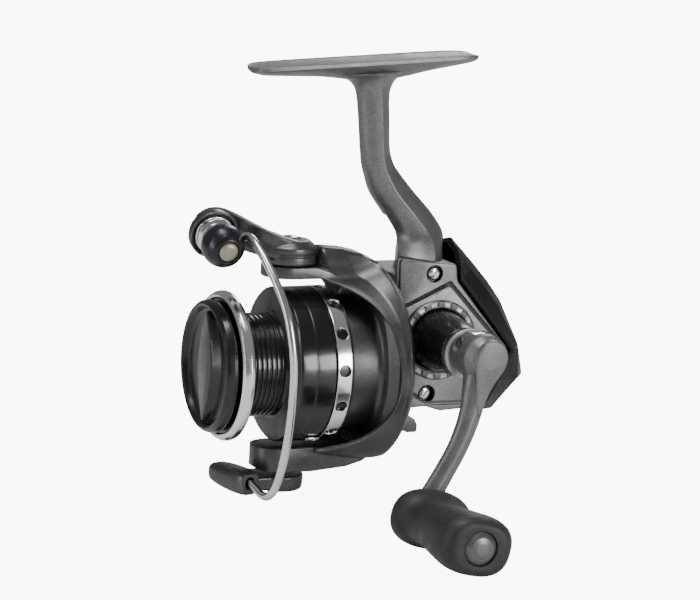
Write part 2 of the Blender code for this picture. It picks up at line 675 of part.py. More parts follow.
def build_fold_pin():
    profile = [(0, -4.9), (1.7, -4.9), (1.7, -4.5), (0.95, -4.5), (0.95, 4.4), (0, 4.4)]
    at = (0, FOLD_PIN_Y, FOLD_PIN_Z)
    return turned("fold_pin", profile, "x", "fold_axis", at, "polished_steel", 12)


def knob_ring(y, half_long, half_wide, waist, lean):
    """A slice across the knob: a long paddle whose waist narrows between two lobes."""
    ring = []
    for i in range(20):
        angle = 2 * pi * i / 20
        along, across = half_long * cos(angle), half_wide * sin(angle)
        across *= 1 - waist * cos(angle * 2 + pi) * 0.5 - waist * 0.5
        ring.append((
            KNOB_X + along * cos(radians(lean)) - across * sin(radians(lean)), y,
            KNOB_Z + along * sin(radians(lean)) + across * cos(radians(lean)),
        ))
    return ring


def build_knob_parts():
    at = (KNOB_X, 0, KNOB_Z)
    slices = [
        (-43.4, 7.0, 5.4, 0.0), (-44.8, 9.8, 7.0, 0.05), (-46.8, 10.7, 7.4, 0.05),
        (-49.8, 9.8, 6.9, 0.05), (-53.5, 8.3, 6.1, 0.0), (-58.0, 8.5, 6.3, 0.0),
        (-63.5, 9.3, 6.9, 0.0), (-69.5, 9.7, 7.4, 0.05), (-73.8, 9.1, 7.1, 0.0),
        (-75.8, 6.8, 5.8, 0.0),
    ]
    rings = [knob_ring(*slice_, KNOB_LEAN) for slice_ in slices]
    knob = lofted("handle_knob", rings, "knob_axis", "soft_black")
    cut(
        knob,
        rod("knob_bore", 2.2, -78, -42, "y", "knob_axis", at, sides=12),
        rod("cap_seat", 4.3, -78, -73.6, "y", "knob_axis", at, sides=20),
    )
    cap = [(0, -77.0), (2.2, -76.7), (3.7, -75.9), (4.0, -75.2), (4.0, -73.9), (0, -73.9)]
    turned("knob_cap", cap, "y", "knob_axis", at, "cap_grey", 20)
    rod("knob_shaft", 1.9, -73.2, -39.4, "y", "fold_axis", at, "polished_steel", 12)
    return knob


def build_handle_parts():
    drive = (0, 0, DRIVE_AXIS_Z)
    build_drive_gear()
    build_drive_shaft()
    turned("handle_collar", [(3.2, -31.2), (5.8, -31.2), (6.3, -30.7), (6.3, -29.6), (3.2, -29.6)],
           "y", "drive_axis", drive, "polished_aluminium", 24)
    cap = [(0, 19.2), (4.6, 18.9), (6.1, 17.6), (6.2, 15.4), (2.3, 15.4), (2.3, 17.6), (0, 17.6)]
    turned("handle_screw_cap", cap, "y", "drive_axis", drive, "gloss_black", 20)
    build_handle_arm()
    build_fold_pin()
    build_knob_parts()


# ---- Rotor ----------------------------------------------------------------------------------

def build_rotor():
    profile = [
        (3.3, -32.2), (17.3, -32.2), (17.4, -31.6), (17.4, -16.2), (20.5, -15.7), (20.6, -20.2),
        (21.4, -20.4), (23.9, -15.6), (ROTOR_RIM_R, -12.9), (ROTOR_RIM_R, -11.5), (24.6, -11.1),
        (22.2, -14.4), (15.8, -15.0), (15.8, -30.6), (3.3, -30.6),
    ]
    rotor = turned("rotor", profile, "x", "rotor_axis", (0, 0, 0), "rotor_grey")
    inner = ROTOR_ARM_INNER
    upper = [
        (-44.2, 22.8), (-44.2, 25.8), (-29.4, 25.8), (-29.0, 30.4), (-23.0, 29.8), (-17.4, 28.6),
        (-13.6, 26.0), (-11.4, 22.4), (-11.6, inner), (-17.0, inner), (-23.0, 21.8), (-32.0, 22.5),
    ]
    window = [(-27.8, 28.9), (-22.5, 28.2), (-17.8, 27.0), (-15.2, 24.8), (-17.5, 23.6), (-27.8, 24.4)]
    lower = [
        (-44.6, -inner), (-44.6, -27.4), (-30.6, -27.8), (-22.0, -28.2), (-18.0, -27.8),
        (-13.6, -25.8), (-11.4, -22.4), (-11.6, -inner),
    ]
    join(
        rotor,
        slab("upper_arm", upper, -6.4, 6.4, "xz", "rotor_axis"),
        slab("lower_arm", lower, -6.4, 6.4, "xz", "rotor_axis"),
    )
    pivot = (BAIL_PIVOT_X, 0, 0)
    return cut(
        rotor,
        slab("arm_window", window, -8, 8, "xz", "rotor_axis"),
        block("arm_pocket", (-42.4, -4.3, -26.2), (-18.0, 4.3, -19.0), "rotor_axis"),
        block("lid_recess", (-43.4, -5.3, -22.1), (-17.6, 5.3, -19.0), "rotor_axis"),
        rod("upper_screw_way", 1.3, 22, 28, "z", "rotor_axis", pivot, sides=8),
        rod("lower_screw_way", 1.3, -29, -25, "z", "rotor_axis", pivot, sides=8),
    )


def build_spring():
    """The bail spring: an open coil lying in the lower arm."""
    turns, per_turn = 4, 9
    points = []
    for i in range(turns * per_turn + 1):
        angle = 2 * pi * i / per_turn
        x = SPRING_X + SPRING_LENGTH * i / (turns * per_turn)
        points.append((x, SPRING_Y + SPRING_R * cos(angle), SPRING_Z + SPRING_R * sin(angle)))
    return wire("bail_spring", points, 0.35, "rotor_axis", "polished_steel", 0)


def build_kick_lever():
    """A bent rod beside the spring that trips the bail shut. It slides back as the bail opens."""
    points = [(-35.0, 1.0, -24.2), (-33.5, 2.4, -24.2), (-24.0, 2.4, -24.2), (-21.8, 2.4, -23.8)]
    return wire("kick_lever", points, 0.7, "kick_axis", "polished_steel", 1)


def build_rotor_parts():
    build_rotor()
    build_pinion()
    nut = rod("rotor_nut", 5.4, -34.4, -32.5, "x", "rotor_axis", (0, 0, 0), "brass", 6)
    cut(nut, rod("nut_bore", 3.3, -36, -31, "x", "rotor_axis", (0, 0, 0)))
    lid = [(-43.0, 2.6), (-40.6, 5.0), (-18.0, 5.0), (-18.0, -5.0), (-40.6, -5.0), (-43.0, -2.6)]
    slab("lower_arm_cover", lid, -21.8, -ROTOR_ARM_INNER, "xy", "rotor_axis", "rotor_grey")
    build_spring()
    build_kick_lever()


# ---- Bail -----------------------------------------------------------------------------------

def bail_ring(x, y_low, y_high, z_low, z_high):
    """An eight-sided slice of the bail arm, with its corners taken off."""
    dy, dz = (y_high - y_low) * 0.25, (z_high - z_low) * 0.25
    points = [
        (y_low + dy, z_low), (y_high - dy, z_low), (y_high, z_low + dz), (y_high, z_high - dz),
        (y_high - dy, z_high), (y_low + dy, z_high), (y_low, z_high - dz), (y_low, z_low + dz),
    ]
    return [(x, y, z) for y, z in points]


def build_bail_arm():
    pivot = (BAIL_PIVOT_X, 0, 0)
    arm = rod("bail_arm", 6.9, 26.2, 32.2, "z", "bail_axis", pivot, "rotor_grey", 28, 5.9)
    rings = [
        bail_ring(-38.0, -4.6, 4.6, 27.0, 31.8), bail_ring(-43.0, -4.4, 5.2, 27.6, 33.2),
        bail_ring(-47.0, -2.4, 5.6, 28.8, 35.0), bail_ring(-51.0, 2.4, 6.4, 30.0, 36.8),
        bail_ring(-55.0, 4.0, 6.8, 30.0, 37.8), bail_ring(-59.0, 4.4, 6.8, 29.0, 37.4),
    ]
    end = Vector(ROLLER_AT) - 3.1 * Vector(ROLLER_ALONG)
    join(
        arm,
        lofted("bail_arm_shape", rings, "bail_axis"),
        rod("roller_end", 5.9, -1.3, 1.3, towards(ROLLER_ALONG), "bail_axis", end, sides=24),
    )
    return cut(
        arm,
        rod("arm_screw_seat", 2.6, 31.6, 35, "z", "bail_axis", pivot, sides=16),
        rod("arm_screw_way", 1.3, 25, 33, "z", "bail_axis", pivot, sides=8),
    )


def build_bail_wire():
    """The line-catching bow, from beside the cone round the spool to the lower lever."""
    points = [
        (-51.2, -6.0, 34.2), (-51.4, -10.4, 34.0), (-50.8, -13.4, 32.2), (-49.9, -17.0, 29.2),
        (-48.6, -21.6, 24.2), (-47.4, -25.4, 18.4), (-46.5, -27.5, 11.5), (-45.9, -28.1, 4.6),
        (-45.6, -27.5, -2.4), (-45.4, -26.2, -10.4), (-45.4, -24.2, -17.8), (-45.6, -21.6, -24.2),
        (-45.9, -19.2, -28.2), (-46.3, -16.4, -30.3), (-46.9, -13.8, -30.4), (-47.6, -11.2, -29.3),
        (-48.2, -9.4, -28.6),
    ]
    return wire("bail_wire", points, 1.05, "bail_axis", "polished_steel", 1)


def build_end_lever():
    """The bail's lower lever: a disc on its pivot and a bar that holds the wire's end."""
    pivot = (BAIL_PIVOT_X, 0, 0)
    lever = rod("bail_end_lever", 6.2, -32.2, -28.2, "z", "bail_axis", pivot, "rotor_grey", 28, 6.6)
    link = [(-37.0, -5.4), (-47.0, -5.6), (-52.4, 3.6), (-50.0, 5.2), (-37.0, 5.4)]
    along = Vector((-4.9, 13.0, 1.0))
    start = Vector((-47.9, -8.9, -28.9))
    bar = []
    for share, wide, tall in ((0, 2.9, 2.9), (0.12, 3.4, 3.1), (0.7, 3.3, 2.9), (1.0, 2.3, 2.0)):
        centre = start + along * share
        side = Vector((0.93, 0.35, 0))
        ring = []
        for i in range(10):
            angle = 2 * pi * (i + 0.5) / 10
            point = centre + side * wide * cos(angle) + Vector((0, 0, 1)) * tall * sin(angle)
            ring.append(tuple(point))
        bar.append(ring)
    join(
        lever,
        slab("lever_link", link, -31.6, -28.3, "xy", "bail_axis"),
        lofted("lever_bar", bar, "bail_axis"),
    )
    return cut(
        lever,
        rod("wire_socket", 1.5, -4, 2.5, towards((-0.35, 0.93, 0.1)), "bail_axis",
            (-48.3, -9.0, -28.6), sides=10),
        rod("lever_screw_seat", 2.4, -33, -31.0, "z", "bail_axis", pivot, sides=16),
        rod("lever_screw_way", 1.3, -32, -27, "z", "bail_axis", pivot, sides=8),
    )


def build_bail_parts():
    pivot = (BAIL_PIVOT_X, 0, 0)
    along = towards(ROLLER_ALONG)
    build_bail_arm()
    build_bail_wire()
    build_end_lever()
    build_screw("bail_arm_screw", 2.2, 0.95, 32.9, 31.9, 24.0, "bail_axis", pivot, "z")
    build_screw("end_lever_screw", 2.0, 0.95, -32.1, -31.3, -26.6, "bail_axis", pivot, "z")
    turned("roller_washer", ring_profile(1.5, 4.9, -1.5, -0.5), along, "bail_axis", ROLLER_AT,
           "polished_aluminium", 24)
    roller = [(1.6, -0.2), (4.6, -0.2), (3.7, 0.9), (3.7, 2.3), (4.6, 3.2), (1.6, 3.2)]
    turned("line_roller", roller, along, "roller_axis", ROLLER_AT, "polished_steel", 24)
    cone = [
        (1.5, 3.5), (4.6, 3.5), (5.4, 4.6), (5.5, 6.6), (4.9, 8.6), (3.6, 10.0), (2.9, 10.3), (2.9, 9.0),
        (1.5, 9.0),
    ]
    turned("bail_cone", cone, along, "bail_axis", ROLLER_AT, "cone_black", 20)
    screw = [(0, 10.6), (1.6, 10.5), (2.5, 10.1), (2.6, 9.3), (1.3, 9.3), (1.3, -1.5), (0, -1.5)]
    turned("roller_screw", screw, along, "bail_axis", ROLLER_AT, "cap_grey", 16)


# ---- Spool and shaft ------------------------------------------------------------------------

def spool_profile():
    """Front recess and lip, arbor, rear flange and skirt, then the hollow back."""
    return [
        (2.0, -47.2), (11.8, -47.2), (11.8, -54.6), (17.0, -54.6), (17.8, -53.6), (ARBOR_R, -52.2),
        (ARBOR_R, -40.4), (SKIRT_R, -40.0), (SKIRT_R, -30.3), (19.0, -30.1), (19.0, -26.6),
        (19.3, -25.6), (18.4, -25.6), (18.2, -38.8), (12.0, -38.8), (12.0, -45.4), (2.0, -45.4),
    ]


def build_skirt_band():
    ring = turned("skirt_band", ring_profile(19.2, 19.8, -29.9, -26.8), "x", "spool_axis", (0, 0, 0),
                  "polished_aluminium", 3 * SKIRT_HOLES)
    for i in range(SKIRT_HOLES):
        angle = radians(360 * i / SKIRT_HOLES - 74.5)
        direction = (0, cos(angle), sin(angle))
        hole = rod(
            f"band_hole_{i}", 1.4, 17, 22, towards(direction), "spool_axis", (-28.35, 0, 0), sides=6
        )
        cut(ring, hole)
    return ring


def build_drag_knob():
    profile = [
        (3.4, -51.4), (11.2, -51.4), (11.3, -55.0), (16.2, -55.3), (16.9, -56.0), (16.3, -58.6),
        (15.6, -58.9), (14.9, -58.5), (14.2, -56.9), (0, -56.4), (0, -54.2), (3.4, -54.2),
    ]
    knob = turned("drag_knob", profile, "x", "drag_axis", (0, 0, 0), "gloss_black")
    fin = [(-14.4, 0.9), (-6, 2.6), (0, 3.0), (6, 2.6), (14.4, 0.9)]
    fin = fin + [(z, -y) for z, y in reversed(fin)]
    low = [(-56.2, y, z) for z, y in fin]
    top = [(-58.5, y * 0.45, z * 0.94) for z, y in fin]
    return join(knob, lofted("fin", [low, top], "drag_axis"))


def build_slider():
    """A fork on the main shaft's rear end. The crank pin drives it, and the rod guides its foot."""
    left, right = SLIDER_X - 1.9, SLIDER_X + 1.9
    low, high = (left, -1.9, -7.6), (right, 2.2, 8.0)
    slider = block("oscillation_slider", low, high, "shaft_axis", "gear_zinc")
    return cut(
        slider,
        block("pin_slot", (left + 0.8, 0.9, -1.8), (right - 0.8, 3.0, 9.0), "shaft_axis"),
        rod("slider_bore", 1.75, left - 1, right + 1, "x", "shaft_axis", (0, -0.1, 0), sides=12),
        rod("guide_bore", 1.15, left - 1, right + 1, "x", "shaft_axis", (0, 0, -6.0), sides=12),
    )


def build_line_clip():
    """A sprung tab that holds the loose line's end against the skirt."""
    angle = radians(CLIP_ANGLE)
    centre = Vector((-32.2, 20.2 * cos(angle), 20.2 * sin(angle)))
    half = Vector((1.9, 1.5, 0.22))
    return block("line_clip", centre - half, centre + half, "spool_axis", "bearing_steel",
                 (CLIP_ANGLE - 90, 0, 0))


def build_spool_parts():
    line = (0, 0, 0)
    rod("main_shaft", MAIN_SHAFT_R, -53.9, 9.4, "x", "shaft_axis", line, "polished_steel", 16)
    build_slider()
    click = []
    for i in range(16):
        click += arc(0, 0, 5.6 if i % 2 else 6.4, i * 22.5, i * 22.5 + 12, 2)
    gear = slab("click_gear", click, -44.9, -43.9, "yz", "shaft_axis", "white_resin")
    cut(gear, rod("click_bore", 1.9, -46, -43, "x", "shaft_axis", line, sides=12))
    turned("spool", spool_profile(), "x", "spool_axis", line, "spool_black")
    lip = [(17.3, -55.0), (18.4, -55.0), (LIP_R, -54.5), (18.9, -53.5), (18.1, -53.4), (17.3, -54.3)]
    turned("spool_lip_ring", lip, "x", "spool_axis", line, "polished_aluminium")
    build_skirt_band()
    build_line_clip()
    stack = (
        ("drag_washer_felt_rear", (2.4, 11.0, -48.3, -47.5), "spool_axis", "felt"),
        ("drag_washer_steel", (1.9, 11.0, -49.1, -48.6), "shaft_axis", "bearing_steel"),
        ("drag_washer_felt_front", (2.4, 11.0, -50.2, -49.4), "spool_axis", "felt"),
        ("drag_clip", (9.8, 11.5, -50.9, -50.5), "spool_axis", "polished_steel"),
    )
    for name, sizes, axis_empty, finish in stack:
        turned(name, ring_profile(*sizes), "x", axis_empty, line, finish, 24)
    build_drag_knob()
    nut = [(1.9, -53.8), (3.1, -53.8), (3.1, -51.4), (1.9, -51.4)]
    turned("drag_nut", nut, "x", "drag_axis", line, "brass", 12)


build_axes()
build_body_parts()
build_lever()
build_handle_parts()
build_oscillation_parts()
build_rotor_parts()
build_bail_parts()
build_spool_parts()
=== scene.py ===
"""Looks of the spinning reel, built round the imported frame.

Shapes are in the gearbox frame, in millimetres: X runs back along the main shaft, Y points away
from the handle and Z up, from the point where the main shaft passes under the drive shaft.
The foot and stem are in the world frame, in millimetres from the middle of the foot's seat.
"""

import json
from math import atan2, cos, pi, radians, sin, tan

import bmesh
import bpy
from mathutils import Matrix, Vector

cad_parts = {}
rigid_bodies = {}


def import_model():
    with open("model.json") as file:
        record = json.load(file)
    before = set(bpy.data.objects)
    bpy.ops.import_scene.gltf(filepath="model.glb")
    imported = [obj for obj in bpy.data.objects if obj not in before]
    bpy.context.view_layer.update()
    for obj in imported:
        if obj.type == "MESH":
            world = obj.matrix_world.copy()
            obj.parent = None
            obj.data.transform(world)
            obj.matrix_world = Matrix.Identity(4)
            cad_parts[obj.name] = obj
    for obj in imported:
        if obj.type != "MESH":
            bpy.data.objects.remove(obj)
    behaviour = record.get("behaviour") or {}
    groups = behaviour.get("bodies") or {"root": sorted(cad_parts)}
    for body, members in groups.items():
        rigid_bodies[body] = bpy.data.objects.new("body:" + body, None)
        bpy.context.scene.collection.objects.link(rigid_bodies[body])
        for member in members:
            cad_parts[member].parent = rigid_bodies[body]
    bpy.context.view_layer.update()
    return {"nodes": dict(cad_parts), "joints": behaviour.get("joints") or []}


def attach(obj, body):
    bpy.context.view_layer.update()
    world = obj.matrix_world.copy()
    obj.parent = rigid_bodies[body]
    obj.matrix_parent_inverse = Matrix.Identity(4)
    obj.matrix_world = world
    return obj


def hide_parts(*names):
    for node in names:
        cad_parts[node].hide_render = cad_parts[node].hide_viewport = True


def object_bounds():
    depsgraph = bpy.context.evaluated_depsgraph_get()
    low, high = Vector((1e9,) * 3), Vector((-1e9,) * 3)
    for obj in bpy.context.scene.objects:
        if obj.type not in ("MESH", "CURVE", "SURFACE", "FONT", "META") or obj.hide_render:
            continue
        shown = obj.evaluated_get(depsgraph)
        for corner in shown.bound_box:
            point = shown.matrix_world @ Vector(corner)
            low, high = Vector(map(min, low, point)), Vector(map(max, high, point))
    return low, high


for startup in list(bpy.data.objects):
    bpy.data.objects.remove(startup)
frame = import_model()
JOINTS = {joint["name"]: joint for joint in frame["joints"]}
MM = 0.001


def gearbox_matrix():
    """The gearbox frame in the world, in millimetres, from the rotor's and the handle's axes."""
    back = Vector(JOINTS["rotor_spin"]["axis"]).normalized()
    if back.x < 0:
        back = -back
    side = Vector((0, 1, 0))
    on_shaft = Vector(JOINTS["rotor_spin"]["pos_m"]) / MM
    drive = Vector(JOINTS["handle_spin"]["pos_m"]) / MM
    origin = on_shaft + back * (drive - on_shaft).dot(back)
    turn = Matrix((back, side, back.cross(side))).transposed().to_4x4()
    return Matrix.Translation(origin) @ turn


GEARBOX = gearbox_matrix()
WORLD = Matrix.Identity(4)
TILT = atan2(-GEARBOX[2][0], GEARBOX[0][0])


def joint_at(name):
    """A joint's point in gearbox millimetres."""
    return GEARBOX.inverted() @ (Vector(JOINTS[name]["pos_m"]) / MM)


def joint_along(name):
    """A joint's axis in the gearbox frame."""
    return (GEARBOX.to_3x3().inverted() @ Vector(JOINTS[name]["axis"])).normalized()


DRIVE_Z = joint_at("handle_spin").z
SHAFT, DRIVE = (0, 0, 0), (0, 0, DRIVE_Z)
FOLD = joint_at("handle_fold")
KNOB = joint_at("knob_spin")
KNOB_AT, FOLD_AT = (KNOB.x, 0, KNOB.z), (0, FOLD.y, FOLD.z)
PIVOT = (joint_at("bail_pivot").x, 0, 0)
ROLLER = joint_at("line_roller_spin")
ROLLER_ALONG = joint_along("line_roller_spin")
if ROLLER_ALONG.y > 0:
    ROLLER_ALONG = -ROLLER_ALONG
LEVER_AT = (0, 0, joint_at("anti_reverse_flip").z)


# ---- Lines and outlines ----

STRAIGHT = radians(172)  # corners flatter than this stay as they are
ARC_SHARE = 0.46  # the share of an edge that one corner's arc may take
LEAST_COSINE = 0.45  # keeps an outset corner from running far out


def rounded(points, radius, closed=True, steps=4, even=False):
    """Each corner becomes an arc. A point's third number overrides the radius there.

    even gives every corner the same number of points, so that outlines can be skinned.
    """
    made = []
    count = len(points)
    for i, point in enumerate(points):
        here = Vector(point[:2])
        if not closed and i in (0, count - 1):
            made.append(here)
            continue
        back = Vector(points[i - 1][:2]) - here
        ahead = Vector(points[(i + 1) % count][:2]) - here
        wanted = point[2] if len(point) > 2 else radius
        corner = back.angle(ahead)
        if not even and (wanted <= 0 or corner > STRAIGHT):
            made.append(here)
            continue
        reach = min(wanted / tan(corner / 2), ARC_SHARE * back.length, ARC_SHARE * ahead.length)
        start, end = here + back.normalized() * reach, here + ahead.normalized() * reach
        for k in range(steps + 1):
            t = k / steps
            made.append((1 - t) ** 2 * start + 2 * t * (1 - t) * here + t * t * end)
    return [tuple(point) for point in made]


def flowing(points, steps, closed=False):
    """A Catmull-Rom curve through points of any dimension."""
    count = len(points)
    made = []
    for i in range(count if closed else count - 1):
        if closed:
            four = [points[(i + k) % count] for k in (-1, 0, 1, 2)]
        else:
            four = [points[min(max(i + k, 0), count - 1)] for k in (-1, 0, 1, 2)]
        for k in range(steps):
            t = k / steps
            made.append(tuple(
                0.5 * (2 * b + (c - a) * t + (2 * a - 5 * b + 4 * c - d) * t * t
                       + (3 * b - a - 3 * c + d) * t ** 3)
                for a, b, c, d in zip(*four)
            ))
    if not closed:
        made.append(tuple(points[-1]))
    return made


def flowing_rings(rings, steps):
    """More rings between rings, each point along its own smooth curve."""
    paths = [flowing([ring[i] for ring in rings], steps) for i in range(len(rings[0]))]
    return [[path[k] for path in paths] for k in range(len(paths[0]))]


def signed_area(outline):
    following = outline[1:] + outline[:1]
    return sum(a[0] * b[1] - b[0] * a[1] for a, b in zip(outline, following)) / 2


def outset(outline, distance):
    """The outline moved outwards by a distance, or inwards when it is negative."""
    flip = 1 if signed_area(outline) > 0 else -1
    count = len(outline)
    made = []
    for i, point in enumerate(outline):
        here = Vector(point[:2])
        back = (here - Vector(outline[i - 1][:2])).normalized()
        ahead = (Vector(outline[(i + 1) % count][:2]) - here).normalized()
        normals = [Vector((edge.y, -edge.x)) * flip for edge in (back, ahead)]
        middle = (normals[0] + normals[1]).normalized()
        stretch = 1 / max(middle.dot(normals[0]), LEAST_COSINE)
        made.append(tuple(here + middle * distance * stretch))
    return made


def squarish(half_long, half_wide, power, count):
    """An oval whose sides bulge towards its corners as power falls below 1."""
    made = []
    for i in range(count):
        c, s = cos(2 * pi * i / count), sin(2 * pi * i / count)
        made.append((
            half_long * abs(c) ** power * (1 if c > 0 else -1),
            half_wide * abs(s) ** power * (1 if s > 0 else -1),
        ))
    return made


# ---- Solids, in millimetres until piece() ----

SAME_PLACE = 1e-4
AXES = {"x": Vector((1, 0, 0)), "y": Vector((0, 1, 0)), "z": Vector((0, 0, 1))}


def facing(direction, at):
    """Local Z to a direction through a point, in gearbox millimetres."""
    along = AXES[direction] if isinstance(direction, str) else Vector(direction)
    turn = along.to_track_quat("Z", "Y").to_matrix().to_4x4()
    return Matrix.Translation(Vector(at)) @ turn


def adjust(thing, **settings):
    """Sets a thing's properties by name."""
    for key, value in settings.items():
        setattr(thing, key, value)


def placed(name, data):
    """A new object in the scene."""
    thing = bpy.data.objects.new(name, data)
    bpy.context.scene.collection.objects.link(thing)
    return thing


def knit(mesh, turn_out=False):
    """Joins the points that share a place, so that the mesh is closed."""
    shape = bmesh.new()
    shape.from_mesh(mesh)
    bmesh.ops.remove_doubles(shape, verts=shape.verts, dist=SAME_PLACE)
    if turn_out:
        bmesh.ops.recalc_face_normals(shape, faces=shape.faces)
    shape.to_mesh(mesh)
    shape.free()


def shade(thing, sharp):
    thing.data.shade_smooth()
    thing.data.set_sharp_from_angle(angle=radians(sharp))
    thing["sharp"] = sharp
    return thing


def solid(name, points, faces, matrix=None, sharp=32, base=None):
    """A closed mesh with its faces out. matrix acts first, then base or the gearbox frame."""
    mesh = bpy.data.meshes.new(name)
    mesh.from_pydata([tuple(point) for point in points], [], faces)
    knit(mesh, turn_out=True)
    if matrix is not None:
        mesh.transform(matrix)
    mesh.transform(GEARBOX if base is None else base)
    return shade(placed(name, mesh), sharp)


def skin(name, rings, wrap=False, **settings):
    """Skins rings of points. wrap joins the last ring to the first; otherwise both ends close."""
    count = len(rings[0])
    points = [point for ring in rings for point in ring]
    pairs = [(i, i + 1) for i in range(len(rings) - 1)]
    if wrap:
        pairs.append((len(rings) - 1, 0))
    faces = []
    for a, b in pairs:
        for i in range(count):
            j = (i + 1) % count
            faces.append((a * count + i, a * count + j, b * count + j, b * count + i))
    if not wrap:
        faces.append(tuple(reversed(range(count))))
        faces.append(tuple((len(rings) - 1) * count + i for i in range(count)))
    return solid(name, points, faces, **settings)


def swept(name, ring, stations, steps=5, **settings):
    """A smooth skin through the rings that a function makes of the stations."""
    return skin(name, flowing_rings([ring(*station) for station in stations], steps), **settings)


def lathe(name, profile, direction, at=(0, 0, 0), *, soften, around=96, steps=4):
    """A turned piece. profile is (radius, station), a closed section or a line axis to axis."""
    hollow = all(point[0] > 0 for point in profile)
    line = rounded(profile, soften, closed=hollow, steps=steps)
    points = []
    for radius, station in line:
        for i in range(around):
            angle = 2 * pi * i / around
            points.append((radius * cos(angle), radius * sin(angle), station))
    rows = len(line)
    faces = []
    for row in range(rows if hollow else rows - 1):
        near, far = row * around, (row + 1) % rows * around
        for i in range(around):
            j = (i + 1) % around
            faces.append((near + i, near + j, far + j, far + i))
    return solid(name, points, faces, matrix=facing(direction, at))


PLANES = {"xz": lambda u, v, w: (u, w, v), "xy": lambda u, v, w: (u, v, w)}


def plate(name, outline, low, high, plane, *, top, bottom, steps=3, **settings):
    """A flat outline from low to high, with its two rims rounded over."""
    levels = []
    for k in range(steps + 1 if bottom else 1):
        a = pi / 2 * (k / steps if bottom else 1)
        levels.append((bottom * (1 - sin(a)), low + bottom * (1 - cos(a))))
    for k in range(steps + 1 if top else 1):
        a = pi / 2 * (k / steps if top else 0)
        levels.append((top * (1 - cos(a)), high - top * (1 - sin(a))))
    to_space = PLANES[plane]
    rings = []
    for inset, level in levels:
        rings.append([to_space(u, v, level) for u, v in outset(outline, -inset)])
    return skin(name, rings, **settings)


def box(name, low, high, matrix=None):
    """A plain block, used as a cutter."""
    corners = [(low[0], low[1]), (high[0], low[1]), (high[0], high[1]), (low[0], high[1])]
    rings = [[(x, y, z) for x, y in corners] for z in (low[2], high[2])]
    return skin(name, rings, matrix=matrix)


def peg(name, radius, low, high, direction, at, tip=None, around=48):
    """A plain round cutter from station low to high."""
    end = radius if tip is None else tip
    return lathe(name, [(0, low), (radius, low), (end, high), (0, high)], direction, at,
                 soften=0, around=around)


def bake(thing):
    """Applies a piece's modifiers to its mesh."""
    bpy.context.view_layer.update()
    graph = bpy.context.evaluated_depsgraph_get()
    mesh = bpy.data.meshes.new_from_object(thing.evaluated_get(graph))
    thing.modifiers.clear()
    mesh.materials.clear()
    thing.data = mesh
    return shade(thing, thing["sharp"])


def modify(thing, kind, **settings):
    adjust(thing.modifiers.new(kind, kind), **settings)


def combine(thing, operation, others):
    for other in others:
        modify(thing, "BOOLEAN", operation=operation, solver="EXACT", object=other)
    bake(thing)
    for other in others:
        bpy.data.objects.remove(other)
    return thing


def carve(thing, *others):
    return combine(thing, "DIFFERENCE", others)


def fuse(thing, *others):
    return combine(thing, "UNION", others)


def keep_inside(thing, other):
    return combine(thing, "INTERSECT", [other])


def melt(thing, voxel, repeats):
    """Makes one skin of joined shapes and smooths the creases between them."""
    modify(thing, "REMESH", mode="VOXEL", voxel_size=voxel, use_smooth_shade=True)
    modify(thing, "SMOOTH", factor=0.5, iterations=repeats)
    return bake(thing)


def bevel(thing, width, angle):
    modify(thing, "BEVEL", width=width, segments=3, limit_method="ANGLE",
           angle_limit=radians(angle), use_clamp_overlap=True, miter_outer="MITER_ARC")
    return bake(thing)


# ---- Materials ----

FLAKE_SIZE, LATHE_PITCH = 0.22, 0.16


def feed(tree, node, inputs):
    """Sets a node's inputs, each to a value or from a socket."""
    for key, value in inputs.items():
        if isinstance(value, bpy.types.NodeSocket):
            tree.links.new(value, node.inputs[key])
        else:
            node.inputs[key].default_value = value


def add(tree, kind, inputs=None, **settings):
    """A new shader node."""
    made = tree.nodes.new("ShaderNode" + kind)
    adjust(made, **settings)
    feed(tree, made, inputs or {})
    return made


def maths(tree, operation, first, second):
    return add(tree, "Math", {0: first, 1: second}, operation=operation).outputs[0]


def ranged(tree, value, low, high, to_low, to_high):
    """Maps low..high of a value to another range, and holds it there."""
    return add(tree, "MapRange", {
        "Value": value, "From Min": low, "From Max": high, "To Min": to_low, "To Max": to_high,
    }).outputs["Result"]


def noise(tree, at, size, detail):
    """Fractal noise whose features are about size millimetres wide."""
    return add(tree, "TexNoise", {
        "Vector": at, "Scale": 1 / size, "Detail": detail, "Roughness": 0.55,
    }).outputs["Fac"]


def mixed(tree, share, first, second):
    inputs = {0: share, 6: first, 7: second}
    return add(tree, "Mix", inputs, data_type="RGBA").outputs[2]


def scaled(colour, by):
    return tuple(min(channel * by, 1) for channel in colour) + (1,)


def gearbox_coordinates(tree):
    """Texture coordinates in gearbox millimetres."""
    plain = add(tree, "TexCoord").outputs["Object"]
    return add(tree, "Mapping", {
        "Vector": plain, "Location": GEARBOX.translation * MM, "Rotation": (0, TILT, 0),
        "Scale": (MM, MM, MM),
    }, vector_type="TEXTURE").outputs["Vector"]


def turned_lines(tree, at, size):
    """Fine rings round the main shaft, as a lathe leaves them."""
    parts = add(tree, "SeparateXYZ", {"Vector": at}).outputs
    flat = add(tree, "CombineXYZ", {"X": 0, "Y": parts["Y"], "Z": parts["Z"]})
    radius = add(tree, "VectorMath", {0: flat.outputs[0]}, operation="LENGTH")
    rings = add(tree, "CombineXYZ", {"X": parts["X"], "Y": radius.outputs["Value"], "Z": 0})
    return noise(tree, rings.outputs[0], size, 2)


